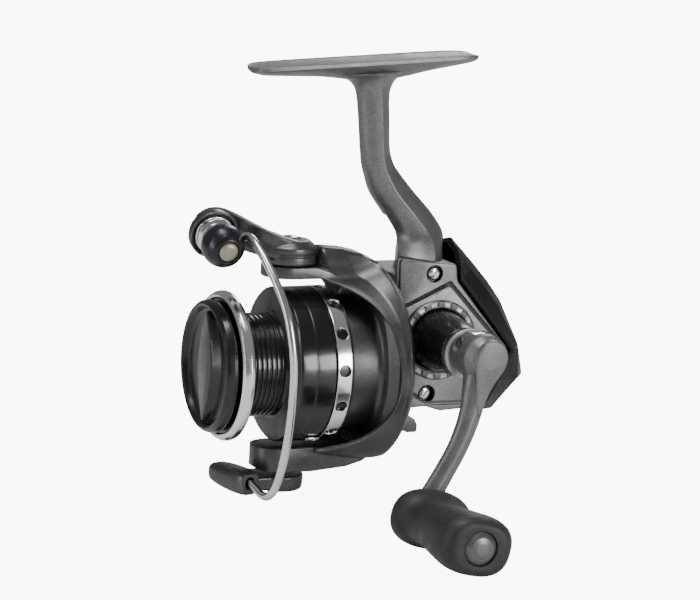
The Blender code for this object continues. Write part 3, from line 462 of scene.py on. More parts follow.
def surface(
    name, colour, metallic, roughness, blotch=0.1, grain=0.3, depth=0.004, flake=0, wear=0.3,
    worn=(0.6, 0.6, 0.61), coat=0, lathe_lines=0, sheen=0, edge=0.3, shine=0.5,
):
    """A finish with broad tone changes, fine grain, optional flakes, lathe lines and lighter edges,
    partly wear and partly a painted highlight.
    """
    made = bpy.data.materials.new(name)
    made.use_nodes = True
    tree = made.node_tree
    at = gearbox_coordinates(tree)
    broad = noise(tree, at, 9, 4)
    fine = noise(tree, at, grain, 3)
    tone = ranged(tree, broad, 0.3, 0.7, 0, 1)
    base = mixed(tree, tone, scaled(colour, 1 - blotch), scaled(colour, 1 + blotch))
    height = fine
    if flake:
        cells = add(tree, "TexVoronoi", {"Vector": at, "Scale": 1 / FLAKE_SIZE})
        spark = add(tree, "SeparateColor", {"Color": cells.outputs["Color"]}).outputs[0]
        bright = ranged(tree, spark, 0.72, 1, 0, flake)
        base = mixed(tree, bright, base, scaled(colour, 2.6))
        height = maths(tree, "ADD", maths(tree, "MULTIPLY", spark, 0.5), fine)
    if lathe_lines:
        lines = turned_lines(tree, at, LATHE_PITCH)
        height = maths(tree, "ADD", maths(tree, "MULTIPLY", lines, lathe_lines), fine)
    # Lighter colour on rounded edges, found by the Bevel node: partly wear, partly a painted
    # highlight along the edges.
    if wear:
        rounding = add(tree, "Bevel", {"Radius": edge * MM}, samples=4)
        true_normal = add(tree, "NewGeometry").outputs["Normal"]
        normals = {0: rounding.outputs[0], 1: true_normal}
        alike = add(tree, "VectorMath", normals, operation="DOT_PRODUCT").outputs["Value"]
        bent = ranged(tree, alike, 0.995, 0.9, 0, 1)
        patches = ranged(tree, noise(tree, at, 2.5, 5), 0.42, 0.62, 0.35, 1)
        share = maths(tree, "MULTIPLY", maths(tree, "MULTIPLY", bent, patches), wear)
        base = mixed(tree, share, base, (*worn, 1))
    smudge = ranged(tree, noise(tree, at, 4, 5), 0.35, 0.65, 0.86, 1.18)
    speck = ranged(tree, fine, 0.3, 0.7, 0.94, 1.06)
    rough = maths(tree, "MULTIPLY", maths(tree, "MULTIPLY", smudge, speck), roughness)
    relief = {"Height": height, "Distance": depth * MM, "Strength": 1}
    if wear:
        relief["Normal"] = rounding.outputs[0]
    feed(tree, tree.nodes["Principled BSDF"], {
        "Base Color": base, "Roughness": rough, "Metallic": metallic, "Coat Weight": coat,
        "Coat Roughness": 0.08, "Sheen Weight": sheen, "Specular IOR Level": shine,
        "Normal": add(tree, "Bump", relief).outputs[0],
    })
    return made


FINISHES = {}


def paint(name, *basics, **details):
    """Makes a finish and keeps it under its name."""
    FINISHES[name] = surface(name, *basics, **details)


def make_finishes():
    """The finishes: colour, metallic share, roughness, then what differs from the usual."""
    paint("painted_grey", (0.17, 0.168, 0.174), 0.75, 0.38, flake=0.3, depth=0.01, wear=0.45,
          worn=(0.5, 0.5, 0.51))
    # A lighter grey for the cover ring's pocket floors: a painted highlight.
    paint("pocket_grey", (0.42, 0.42, 0.43), 0.6, 0.45, depth=0.006, wear=0)
    paint("rotor_grey", (0.09, 0.089, 0.093), 0.78, 0.33, flake=0.22, depth=0.008, wear=0.5,
          worn=(0.45, 0.45, 0.46))
    paint("gloss_black", (0.006, 0.006, 0.007), 0, 0.25, blotch=0.2, grain=1.2, depth=0.0012,
          wear=0.2, worn=(0.05, 0.05, 0.05), coat=0.1)
    paint("shell_black", (0.004, 0.004, 0.0045), 0, 0.4, blotch=0.2, grain=1, depth=0.003,
          worn=(0.04, 0.04, 0.04), shine=0.16)
    paint("spool_black", (0.007, 0.007, 0.008), 0.2, 0.22, blotch=0.15, depth=0.002,
          worn=(0.2, 0.2, 0.21), coat=0.3, lathe_lines=0.6)
    paint("flange_grey", (0.1, 0.1, 0.104), 0.5, 0.5, wear=0, lathe_lines=1.2)
    paint("polished_aluminium", (0.86, 0.86, 0.87), 1, 0.15, blotch=0.04, depth=0.0016, wear=0.2,
          worn=(0.95, 0.95, 0.95), lathe_lines=1)
    paint("polished_steel", (0.72, 0.72, 0.73), 1, 0.17, blotch=0.05, grain=0.6, depth=0.002,
          wear=0)
    paint("arm_grey", (0.165, 0.165, 0.171), 0.72, 0.42, flake=0.2, depth=0.006, wear=0.45,
          worn=(0.62, 0.62, 0.63))
    paint("soft_black", (0.012, 0.0115, 0.0125), 0, 0.55, blotch=0.18, grain=0.42, depth=0.04,
          wear=0.2, worn=(0.05, 0.05, 0.05), sheen=0.05, edge=0.6)
    paint("cap_grey", (0.13, 0.128, 0.126), 0.7, 0.38, grain=0.2)
    paint("cone_black", (0.014, 0.0145, 0.019), 0.45, 0.3, grain=0.4, worn=(0.2, 0.2, 0.22),
          coat=0.2)
    paint("end_tan", (0.34, 0.31, 0.25), 0.55, 0.36, grain=0.2, worn=(0.75, 0.7, 0.6))
    paint("bearing_steel", (0.55, 0.55, 0.57), 1, 0.26, grain=0.2, depth=0.003, wear=0.2,
          lathe_lines=0.6)
    paint("gear_zinc", (0.46, 0.46, 0.47), 1, 0.42, grain=0.25, depth=0.008,
          worn=(0.75, 0.75, 0.75))
    paint("brass", (0.66, 0.47, 0.2), 1, 0.28, worn=(0.85, 0.7, 0.4))
    paint("felt", (0.21, 0.17, 0.13), 0, 0.95, blotch=0.25, grain=0.18, depth=0.1, wear=0,
          sheen=0.6)
    paint("white_resin", (0.74, 0.73, 0.7), 0, 0.48, blotch=0.04, grain=0.5, depth=0.006, wear=0.2,
          worn=(0.85, 0.84, 0.82))


make_finishes()


def piece(thing, body, finish):
    """Scales a mesh to metres and hangs it on a CAD body, in place of the CAD node of its name."""
    knit(thing.data)
    thing.data.transform(Matrix.Scale(MM, 4))
    if not thing.data.materials:
        thing.data.materials.append(FINISHES[finish])
    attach(thing, body)
    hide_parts(thing.name.split(".")[0])


def two_tone(thing, main, other, chosen):
    """Gives the other finish to faces chosen by middle and normal, in the gearbox frame."""
    thing.data.materials.clear()
    thing.data.materials.append(FINISHES[main])
    thing.data.materials.append(FINISHES[other])
    inverse = GEARBOX.inverted()
    for face in thing.data.polygons:
        face.material_index = int(chosen(inverse @ face.center, inverse.to_3x3() @ face.normal))
    return thing


def turned(name, profile, direction, at, body, finish, soften, around=96):
    """A turned piece that stands for the CAD node of its name."""
    made = lathe(name, profile, direction, at, soften=soften, around=around)
    piece(made, body, finish)


# ---- Body ----

CASE = [
    (-10.9, 28.3, 1), (4.5, 27, 1), (5.1, 22.6, 2), (20.8, 4.1, 2), (12.6, -10.5, 1.6),
    (2.2, -11.2, 2), (-2, -9.9, 2), (-8, -10.3, 1.6), (-10.9, -8.8, 1),
]
PANEL = [
    (-10, 15.6, 0.6), (2.8, 21.6, 1.2), (19.4, 4, 1), (12.2, -8.6, 1), (-1.2, -8.6, 1),
    (-10, -4, 0.6),
]
SCREW_TOP, SCREW_LOW = (-1.6, 0, 24.6), (-2.3, 0, -6.4)
FAR_SIDE, SPLIT, NEAR_SIDE, PANEL_FACE = 12, -9.4, -12, -12.7
MOAT_DEPTH = 0.75
SCREW_RECESS_R = 2.4
COVER_POCKETS = 16


def stem_ring(z, front, edge, rear, half, fall=0):
    """A level of the stem: a rounded blunt front, a crisp edge, a side stripe and a rear facet."""
    front_step = (edge - front) * 0.42
    rear_step = rear - edge
    half_ring = [
        (front - 0.15, 0), (front, 0.22 * half), (front + 0.18 * front_step, 0.4 * half),
        (front + 0.5 * front_step, 0.62 * half), (front + front_step, 0.82 * half),
        (edge - 0.5 * (edge - front - front_step), 0.93 * half), (edge, half),
        (edge + 0.46 * rear_step, 0.8 * half), (edge + 0.74 * rear_step, 0.56 * half),
        (rear - 0.03 * rear_step, 0.26 * half), (rear + 0.05, 0),
    ]
    outline = half_ring + [(x, -y) for x, y in reversed(half_ring[1:-1])]
    return [(x, y, z - fall * (x - front)) for x, y in outline]


def stem():
    upper = [
        (-2.9, -8.6, 2.6, 13.6, 6), (-4.2, -5, 2.7, 9.6, 5), (-6.2, -2.7, 2.9, 7.6, 4.3),
        (-9.2, -1.8, 3.2, 6.7, 4), (-15.5, -1.3, 3.4, 6.7, 4), (-22.5, -0.9, 3.7, 6.8, 4),
        (-26.5, -0.5, 4.1, 7.8, 4.1), (-29, 0.1, 4.9, 9.4, 4.2), (-34, 1.8, 7.5, 13.3, 4.7),
        (-40, 5.8, 12.1, 18.4, 5.4), (-44.6, 8.2, 15.4, 21.4, 7, 0.05),
        (-47.4, 7.2, 15.6, 20.9, 9.2, 0.12), (-49.3, 6, 14.8, 20.6, 11.2, 0.165),
    ]
    root = [(-49.5, 6.4, 14.6, 20, 9.4, 0.165), (-53.6, 7.2, 13, 18, 8.6)]
    rings = flowing_rings([stem_ring(*level) for level in upper], 5)
    rings += [stem_ring(*level) for level in root]
    return skin("stem_shape", rings, sharp=16, base=WORLD)


def foot_ring(x, half, bottom, lift):
    """A slice across the foot: a shallow trough with a flat strip, thin rims, a full belly."""
    right = [
        (0, 0), (1.5, 0), (0.55 * half, 0.2 * lift), (0.9 * half, 0.62 * lift),
        (0.98 * half, lift), (half, lift - 0.12), (half, -0.42), (0.96 * half, -0.72),
        (0.8 * half, -0.55 + 0.3 * bottom), (0.55 * half, 0.86 * bottom), (0.28 * half, bottom),
        (0, bottom - 0.05),
    ]
    points = right + [(-y, z) for y, z in reversed(right[1:-1])]
    return [(x, y, z) for y, z in points]


def foot():
    stations = [
        (-30.5, 2.6, -1.2, 0.1), (-30.2, 3.7, -1.4, 0.25), (-29.2, 4.9, -1.7, 0.4),
        (-27, 5.7, -2.1, 0.55), (-20, 6.15, -2.6, 0.6), (-12, 6.3, -3.2, 0.6),
        (-5, 6.3, -4.3, 0.6), (3, 6.3, -5.2, 0.6), (11, 6.3, -4.3, 0.6),
        (18, 6.2, -3.2, 0.6), (25, 5.9, -2.4, 0.55), (28.8, 5, -1.9, 0.4),
        (30.1, 3.8, -1.5, 0.25), (30.5, 2.6, -1.3, 0.1),
    ]
    return swept("foot_shape", foot_ring, stations, sharp=28, base=WORLD)


def far_corner():
    """The cutter that narrows the case's top towards the far front."""
    plan = [(-11.4, -9.6), (-6.7, 0), (-1.8, 12.6), (-1.8, 13), (-16, 13), (-16, -9.6)]
    levels = [(23.9, 0), (30.5, 0), (34, -1.2), (38, -4)]
    rings = [[(x + shift, y, z) for x, y in plan] for z, shift in levels]
    return skin("far_corner", rings)


def body_frame():
    """Foot, stem and gear case in one casting, hollow as the CAD's is."""
    case = plate("body_frame", rounded(CASE, 1), SPLIT, FAR_SIDE, "xz", top=0.6, bottom=0.15)
    far_panel = rounded([(x, z, 1.2) for x, z, _ in PANEL], 1.2)
    fuse(
        case,
        plate("far_panel", far_panel, 11, FAR_SIDE + 0.7, "xz", top=0.5, bottom=0),
        lathe("front_drum", [(0, -13.6), (18.6, -13.6), (19, -13), (19, -10.7), (0, -10.7)],
              "x", soften=0.4),
        lathe("clutch_housing", [(0, -22.8), (10.4, -22.8), (10.4, -13), (0, -13)], "x",
              soften=0.4),
        lathe("far_boss", [(0, 11), (9.2, 11), (8, 13.2), (8, 15), (0, 15)], "y",
              DRIVE, soften=0.5),
        stem(),
        foot(),
    )
    cavity = [(-8.7, 23.2), (8, 23.2), (30, 6), (16, -9.3), (2, -9.5), (-8.7, -8.4)]
    carve(
        case,
        far_corner(),
        plate("case_cavity", cavity, -12, 10.4, "xz", top=0, bottom=0),
        box("gear_pocket", (-12.2, -8.5, -8), (-8, 8, 15.4)),
    )
    fuse(case, box("screw_post", (-4.8, -9.38, -10), (0.2, -4, -4.3)))
    carve(
        case,
        peg("bearing_seat", 7.3, -17.6, -11, "x", SHAFT),
        peg("clutch_seat", 9, -24, -18, "x", SHAFT),
        peg("pinion_way", 3.7, -19, -16, "x", SHAFT),
        peg("far_bearing_seat", 5.5, 9, 13.8, "y", DRIVE),
        peg("far_shaft_way", 2.6, 13, 16, "y", DRIVE),
        peg("top_screw_hole", 1.2, -10, -4, "y", SCREW_TOP),
        peg("low_screw_hole", 1.2, -10, -4.8, "y", SCREW_LOW),
        peg("lever_seat", 1.3, -13, -10, "x", LEVER_AT),
    )
    piece(case, "reel_body", "painted_grey")


def side_cover():
    """The plate on the handle's side: a moat, a raised panel, a bearing hole and two recesses."""
    outline = [(max(x, -10.3), z, r) for x, z, r in CASE]
    cover = plate("side_cover", rounded(outline, 1), NEAR_SIDE, SPLIT - 0.3, "xz",
                  top=0.1, bottom=0.45)
    moat = rounded([(*point, 0.8) for point in outset([p[:2] for p in PANEL], 1)], 0.8)
    carve(cover, plate("moat", moat, -14, NEAR_SIDE + MOAT_DEPTH, "xz", top=0.15, bottom=0))
    fuse(cover, plate("raised_panel", rounded(PANEL, 1), PANEL_FACE, -10.6, "xz", top=0,
                      bottom=0.38))
    facet = [(29.5, -4.2, -9.9), (24, -4.6, -9.9), (20, -6.4, -10.2), (16.4, -9.6, -11.2),
             (13.5, -11.2, -12)]
    wedge = flowing_rings([
        [(edge, -12.03, z), (-11.6, back, z), (-11.6, -14, z), (edge, -14, z)]
        for z, edge, back in facet
    ], 6)
    recesses = [
        skin("front_facet", wedge),
        peg("boss_hole", 8.3, -14, -9, "y", DRIVE, around=96),
    ]
    steps = [(0, -13), (SCREW_RECESS_R, -13), (2.1, -10.7), (1.3, -10.7), (1.3, -9), (0, -9)]
    for label, at in (("top", SCREW_TOP), ("low", SCREW_LOW)):
        recesses.append(lathe(label + "_recess", steps, "y", at, soften=0, around=48))
    carve(cover, *recesses)

    def in_shade(centre, normal):
        floor = abs(centre.y - NEAR_SIDE - MOAT_DEPTH) < 0.02 and normal.y < -0.999
        to_screw = min(
            Vector((centre.x - x, centre.z - z)).length for x, _, z in (SCREW_TOP, SCREW_LOW)
        )
        return floor or to_screw < SCREW_RECESS_R + 0.02 and -11.97 < centre.y < -10

    two_tone(cover, "painted_grey", "gloss_black", in_shade)
    piece(cover, "reel_body", "painted_grey")


def rear_cover():
    """The angular black shell over the case's open rear, with crisp bevelled facets."""
    ridge = [
        (8, 32), (15.4, 24.4), (19.8, 19.5), (23.3, 14.9), (28.9, 3.9), (31, -4.8),
        (22.9, -13.1), (15, -13.3),
    ]
    ridge_inner = [
        (6.9, 30.6), (14, 23.2), (18.4, 18.3), (21.9, 13.8), (27.2, 3.5), (28.8, -4.2),
        (22, -11.6), (15, -11.9),
    ]
    middle = [
        (7, 30.4), (11.6, 24.2), (15.9, 19.4), (19.9, 14.4), (26.4, 3.9), (26.9, -4.3),
        (19.6, -12.4), (14.4, -12.9),
    ]
    middle_inner = [
        (6, 29.2), (10.4, 23.2), (14.6, 18.3), (18.5, 13.5), (24.9, 3.7), (25.2, -3.8),
        (18.9, -11.1), (14.4, -11.6),
    ]
    edge = [
        (6.5, 27.4), (7, 23.3), (11, 18.6), (15.2, 13.8), (22.6, 4.1), (18.6, -4),
        (14.4, -11.4), (13.6, -12),
    ]
    edge_inner = [
        (5.3, 26.8), (5.7, 22.8), (9.9, 17.9), (14, 13.1), (21.3, 4.1), (17.1, -3.4),
        (13.4, -10), (13.1, -10.9),
    ]
    levels = (
        (edge, edge_inner, -12), (edge, edge_inner, -10.6), (middle, middle_inner, -6),
        (ridge, ridge_inner, 0), (middle, middle_inner, 6), (edge, edge_inner, 10.6),
        (edge, edge_inner, 12),
    )
    rings = []
    for outer, inner, y in levels:
        rings.append([(x, y, z) for x, z in outer] + [(x, y, z) for x, z in reversed(inner)])
    cover = skin("rear_cover", rings, sharp=12)
    bevel(cover, 0.28, angle=9)
    piece(cover, "reel_body", "shell_black")


def cover_ring():
    """The ring round the handle's bearing, with a row of small square pockets whose floors carry a
    painted highlight in a lighter grey.
    """
    profile = [(8.45, -12.6), (10.3, -12.6), (10.3, -13.4), (9.9, -13.9), (8.45, -13.9)]
    ring = lathe("cover_ring", profile, "y", DRIVE, soften=0.15, around=144)
    outline = rounded([(8.75, -0.82), (9.95, -1.18), (9.95, 1.18), (8.75, 0.82)], 0.2, steps=2)
    pockets = []
    for i in range(COVER_POCKETS):
        along = facing("y", DRIVE) @ Matrix.Rotation(2 * pi * (i + 0.5) / COVER_POCKETS, 4, "Z")
        pockets.append(plate(f"pocket_{i}", outline, -15, -13.45, "xy", top=0.1, bottom=0,
                             steps=2, matrix=along))
    carve(ring, *pockets)

    # Picks the pocket floors for the lighter grey, a painted highlight.
    def in_pocket_highlight(centre, _normal):
        from_drive = Vector((centre.x, centre.z - DRIVE_Z)).length
        return -13.5 < centre.y < -13.3 and 8.6 < from_drive < 10.1

    two_tone(ring, "rotor_grey", "pocket_grey", in_pocket_highlight)
    piece(ring, "reel_body", "rotor_grey")


def handle_boss():
    profile = [
        (3.5, -29.2), (5.6, -29.2), (6.3, -28.7), (6.62, -26), (7.1, -21.5), (7.72, -15.4),
        (8, -13.6), (8, -10.1), (6.1, -10.1), (6.1, -13.8), (3.5, -13.8),
    ]
    turned("handle_boss", profile, "y", DRIVE, "reel_body", "gloss_black", 0.5, around=128)


def cross_recess(name, size, depth, direction, at, head):
    """Two crossed tapering slots for a screwdriver, cut down from station head."""
    slots = []
    sign = 1 if depth > 0 else -1
    for i in range(2):
        turn = facing(direction, at) @ Matrix.Rotation(radians(35 + 90 * i), 4, "Z")
        rings = []
        for station, share in ((head - 0.3 * sign, 1.05), (head + depth, 0.45)):
            half_long, half_wide = size * share, size * 0.2 * share
            rings.append([
                (-half_long, -half_wide, station), (half_long, -half_wide, station),
                (half_long, half_wide, station), (-half_long, half_wide, station),
            ])
        slots.append(skin(f"{name}_slot_{i}", rings, matrix=turn))
    return slots


def screw(name, head_r, shank_r, head, seat, end, direction, at, body, finish="polished_steel"):
    """A domed cross-head screw with its head from station head to seat and a shank to end."""
    rise = seat - head
    profile = [
        (0, head), (0.45 * head_r, head + 0.04 * rise), (0.8 * head_r, head + 0.22 * rise),
        (head_r, head + 0.55 * rise), (head_r, seat), (shank_r, seat), (shank_r, end), (0, end),
    ]
    made = lathe(name, profile, direction, at, soften=0.18, around=64)
    carve(made, *cross_recess(name, head_r * 0.62, (seat - head) * 0.75, direction, at, head))
    piece(made, body, finish)


def lever():
    """The anti-reverse switch: a hooked thumb tab with grip lines under the body."""
    hook = [
        (-6, -12.2, 0.5), (-2.6, -12.2, 1), (-1.5, -14.6, 1.2), (0.2, -15.6, 1),
        (1.1, -17.2, 0.8), (1, -19.2, 0.7), (-1.8, -19.2, 0.8), (-5, -17, 1.5),
    ]
    tab = plate("anti_reverse_lever", rounded(hook, 0.8), -1.3, 1.3, "xz", top=0.3, bottom=0.3)
    fuse(tab, lathe("spindle", [(0, -12.7), (1, -12.7), (1, -4), (0, -4)], "x",
                    LEVER_AT, soften=0.2, around=48))
    grooves = [
        box(f"grip_{i}", (-1.9 + i * 0.8, -2, -20), (-1.6 + i * 0.8, 2, -18.95)) for i in range(4)
    ]
    piece(carve(tab, *grooves), "anti_reverse_lever", "rotor_grey")


def build_body():
    body_frame()
    side_cover()
    rear_cover()
    cover_ring()
    handle_boss()
    screw("cover_screw_top", 1.65, 0.9, -12, -11.1, -5, "y", SCREW_TOP, "reel_body")
    screw("cover_screw_low", 1.65, 0.9, -12, -11.1, -6, "y", SCREW_LOW, "reel_body")
    lever()


# ---- Handle ----

CAP_FLUTES = 18
KNOB_WAIST, KNOB_LEAN = -52, radians(-12)


def arm_ring(x, y, z, wide, deep, slope, count=32):
    """An oval slice of the handle arm with a soft ridge down its outer face."""
    ring = []
    for i in range(count):
        angle = 2 * pi * i / count
        across = wide / 2 * cos(angle)
        out = deep / 2 * sin(angle)
        if out < 0:
            out *= 1 + 0.12 * (1 - abs(cos(angle))) ** 2
        ring.append((
            x + across * cos(radians(slope)), y + out, z - across * sin(radians(slope)),
        ))
    return ring


def handle_arm():
    """The folding hub and the arm that sweeps down to the knob, forged in one."""
    profile = [
        (0, -44), (2.6, -43.9), (4.6, -43), (5.9, -40.6), (6.15, -37), (6.1, -33.6),
        (4.1, -31.6), (0, -31.6),
    ]
    arm = lathe("handle_arm", profile, "y", (0, 0, DRIVE_Z + 0.9), soften=1.2, around=96)
    stations = [
        (0, -38.6, 9, 8.6, 8, 0), (-0.9, -39.2, 4.6, 7.8, 7, 3),
        (-1.9, -39.8, 1, 6.7, 5.6, 5), (-2.8, -40.4, -3.5, 6.1, 4.8, 12),
        (-4.3, -40.8, -8.6, 5.7, 4.4, 20), (-6.8, -41, -14.6, 5.4, 4.1, 27),
        (-10.2, -41, -20.8, 5.5, 4, 30), (-12.8, -41, -25.4, 6, 4, 30),
        (KNOB.x, -41, KNOB.z + 0.4, 6.6, 4, 30),
    ]
    eye = lathe("eye", [(0, -43), (4.6, -43), (4.6, -39), (0, -39)], "y",
                KNOB_AT, soften=0.7)
    fuse(arm, swept("arm_shape", arm_ring, stations, 6), eye)
    melt(arm, 0.22, 6)
    teardrop = flowing([
        (0.7, 13.6), (3.4, 12.4), (4.7, 9.6), (4, 6.2), (1.9, 3), (0.3, 0), (-0.7, -3.2),
        (-1.9, -6), (-3, -3.2), (-3.2, 0), (-3.4, 3), (-3.8, 6.2), (-3.6, 9.6),
        (-2.2, 12.6),
    ], 5, closed=True)
    lean = (
        Matrix.Translation((0, -43.95, 9)) @ Matrix.Rotation(radians(3.6), 4, "X")
        @ Matrix.Translation((0, 43.95, -9))
    )
    fuse(arm, plate("teardrop", teardrop, -44, -41, "xz", top=0, bottom=0.4, matrix=lean))
    carve(
        arm,
        box("tongue_slot", (-2.15, -38.6, 0.4), (2.15, -30, 20)),
        peg("pin_way", 1.35, -8, 8, "x", FOLD_AT),
        peg("pin_head_way", 2.15, -9, -4.3, "x", FOLD_AT, tip=2),
        peg("knob_shaft_way", 2.2, -45, -38, "y", KNOB_AT),
    )
    piece(arm, "handle", "arm_grey")


def knob_ring(y, half_long, half_wide):
    """A rounded slice across the knob, a little squarer than an oval."""
    power = 0.86 if y > KNOB_WAIST else 0.78
    return [
        (KNOB.x + along * cos(KNOB_LEAN) - across * sin(KNOB_LEAN), y,
         KNOB.z + along * sin(KNOB_LEAN) + across * cos(KNOB_LEAN))
        for along, across in squarish(half_long, half_wide, power, 72)
    ]


def handle_knob():
    """A soft grip: a broad lobe at the arm, a waist and a second lobe that holds the cap."""
    slices = [
        (-43.4, 5.2, 3.8), (-43.5, 6.6, 5), (-44.3, 8.9, 6.5), (-45.4, 10.2, 7.2),
        (-47, 10.8, 7.45), (-49.4, 10.1, 7), (-51.6, 8.9, 6.3), (-54, 8.2, 5.9),
        (-57, 8.3, 6), (-61, 8.9, 6.5), (-65.5, 9.4, 7), (-70, 9.7, 7.45),
        (-73.4, 9.3, 7.3), (-75.3, 8, 6.5), (-75.95, 6.6, 5.6), (-76, 5, 4.9),
    ]
    knob = swept("handle_knob", knob_ring, slices, sharp=60)
    carve(
        knob,
        peg("knob_bore", 2.2, -78, -42, "y", KNOB_AT),
        peg("cap_seat", 4.45, -78, -73.6, "y", KNOB_AT, tip=4.25, around=96),
    )
    piece(knob, "knob", "soft_black")


def knob_cap():
    cap = [
        (0, -77), (1.6, -76.93), (2.9, -76.55), (3.75, -75.95), (3.85, -75.7), (4.1, -75.65),
        (4.12, -75), (4.12, -73.9), (0, -73.9),
    ]
    turned("knob_cap", cap, "y", KNOB_AT, "knob", "cap_grey", 0.25)


def handle_screw_cap():
    """The cap on the shaft's far end, with a coin slot and grip flutes."""
    cap = [(0, 19.2), (4.6, 19), (5.9, 18), (6.2, 17), (6.2, 15.4), (2.3, 15.4), (2.3, 17.6),
           (0, 17.6)]
    made = lathe("handle_screw_cap", cap, "y", DRIVE, soften=0.35)
    cutters = [box("coin_slot", (-4.2, 18.2, -0.7), (4.2, 20, 0.7),
                   matrix=Matrix.Translation(DRIVE))]
    for i in range(CAP_FLUTES):
        angle = 2 * pi * i / CAP_FLUTES
        at = (6.75 * cos(angle), 0, DRIVE_Z + 6.75 * sin(angle))
        cutters.append(peg(f"flute_{i}", 0.8, 15, 19.5, "y", at, around=24))
    piece(carve(made, *cutters), "drive_train", "gloss_black")


def build_handle():
    collar = [(3.2, -31.2), (5.7, -31.2), (6.3, -30.8), (6.35, -30.1), (6.2, -29.6), (3.2, -29.6)]
    turned("handle_collar", collar, "y", DRIVE, "drive_train", "gear_zinc", 0.2)
    handle_arm()
    screw("fold_pin", 1.65, 0.95, -5, -4.4, 4.4, "x", FOLD_AT, "handle",
          finish="rotor_grey")
    handle_knob()
    knob_cap()
    handle_screw_cap()


# ---- Rotor ----

ARM_INNER, ARM_HALF_WIDTH = 20.9, 6.4
LID = [
    (-43, 2.6, 1.2), (-40.6, 5, 1.5), (-18, 5, 0.4), (-18, -5, 0.4),
    (-40.6, -5, 1.5), (-43, -2.6, 1.2),
]


# Round the bowl from the upper arm (0) to the lower arm (180): the front rim's station, the
# inner wall's radius, the ridge's station and radius, and how much the flank is scooped and
# raised into the upper arm's shoulder.
BOWL = [
    (0, -30.5, 22.85, -17, 28.2, 1, 1), (5, -30.5, 22.94, -16.8, 28.2, 1, 1),
    (9, -30.5, 23.14, -16.2, 28, 1, 0.72), (13, -30.5, 23.45, -15.4, 27.8, 1, 0.3),
    (18, -29.6, 23.7, -14.7, 27.4, 1, 0), (26, -26, 23.6, -13.9, 27, 1, 0),
    (34.5, -22.6, 23.6, -13.5, 26.8, 1, 0), (43.5, -19.8, 23.7, -13.2, 26.5, 1, 0),
    (52, -18, 23.9, -13, 26.4, 1, 0), (60, -16.8, 24.2, -12.9, 26.3, 1, 0),
    (75, -15.6, 24.3, -12.8, 26.1, 1, 0), (90, -15, 24.3, -12.7, 25.8, 0.9, 0),
    (103, -15.5, 24.2, -12.7, 25.4, 0.5, 0), (114, -16.9, 23.8, -12.8, 24.9, 0.15, 0),
    (129, -19.8, 22.9, -13, 24.5, 0, 0), (140, -22.6, 22.4, -13.2, 24.5, 0, 0),
    (150, -26.2, 22.1, -13.5, 24.7, 0, 0), (160, -29.8, 22, -13.8, 24.9, 0, 0),
    (168, -30.5, 21.4, -14, 24.9, 0, 0), (174, -30.5, 21.07, -14, 24.9, 0, 0),
    (180, -30.5, 20.96, -14, 24.9, 0, 0),
]


def bowl_section(rim, wall, ridge, ridge_r, scoop, shoulder):
    """The rotor's section at one angle: cup, dished floor, inner wall, rim, flank and rear."""
    deep = -16.2 + 2.2 * min(max((wall - 21.5) / 2, 0), 1)
    run = ridge - rim
    lip = wall + 0.55 + 0.45 * (1 - scoop)

    def flank(low_scooped, low_full, high):
        low = [scoop * a + (1 - scoop) * b for a, b in zip(low_scooped, low_full)]
        return tuple((1 - shoulder) * a + shoulder * b for a, b in zip(low, high))

    flanks = [
        flank((lip, rim), (lip, rim), (25, -30.5)),
        flank((wall + 0.75, rim + 0.22 * run), (0.55 * lip + 0.45 * ridge_r, rim + 0.22 * run),
              (30.3, -29.3)),
        flank((wall + 1, rim + 0.62 * run), (0.1 * lip + 0.9 * ridge_r, rim + 0.62 * run),
              (29.8, -23)),
        flank((ridge_r - 0.55, ridge - 0.7), (ridge_r, ridge - 0.9), (28.9, -18.6)),
    ]
    lift = max(ridge_r - 25.8, 0)
    back = ridge_r - 0.25 - 1.5 * lift
    section = [
        (3.3, -32.2, 0.1), (17.4, -32.2, 0.5), (17.4, -17.3, 2),
        (min(19.8, wall - 1.6), -16.3, 1.5), (min(21.8, wall - 0.8), deep - 0.3, 1.2),
        (wall - 0.25, deep, 0.8), (wall, rim, 0.1), (*flanks[0], 0.15), (*flanks[1], 1),
        (*flanks[2], 2), (*flanks[3], 0.8), (ridge_r, ridge, 0.2), (back, -12, 0.5),
        (min(back - 0.8, 24), -11.1, 0.3), (22.4, -12.6, 0.4), (20.2, -15, 0.4),
        (15.8, -15, 0.2), (15.8, -30.6, 0.2), (3.3, -30.6, 0.1),
    ]
    return rounded(section, 0.3, steps=3, even=True)


def arm_pad(name, side, front, rear, low, high, edge):
    """An arm's flat end: its side view inside a plan with a round nose."""
    half = ARM_HALF_WIDTH
    turns = [radians(90 + 180 * i / 32) for i in range(33)]
    nose = [(front + half + half * cos(turn), half * sin(turn)) for turn in turns]
    plan = [(rear, half)] + nose + [(rear, -half)]
    made = plate(name, side, -half - 1, half + 1, "xz", top=0, bottom=0)
    keep_inside(made, plate(name + "_plan", plan, low, high, "xy", top=0, bottom=0))
    return bevel(made, edge, angle=35)


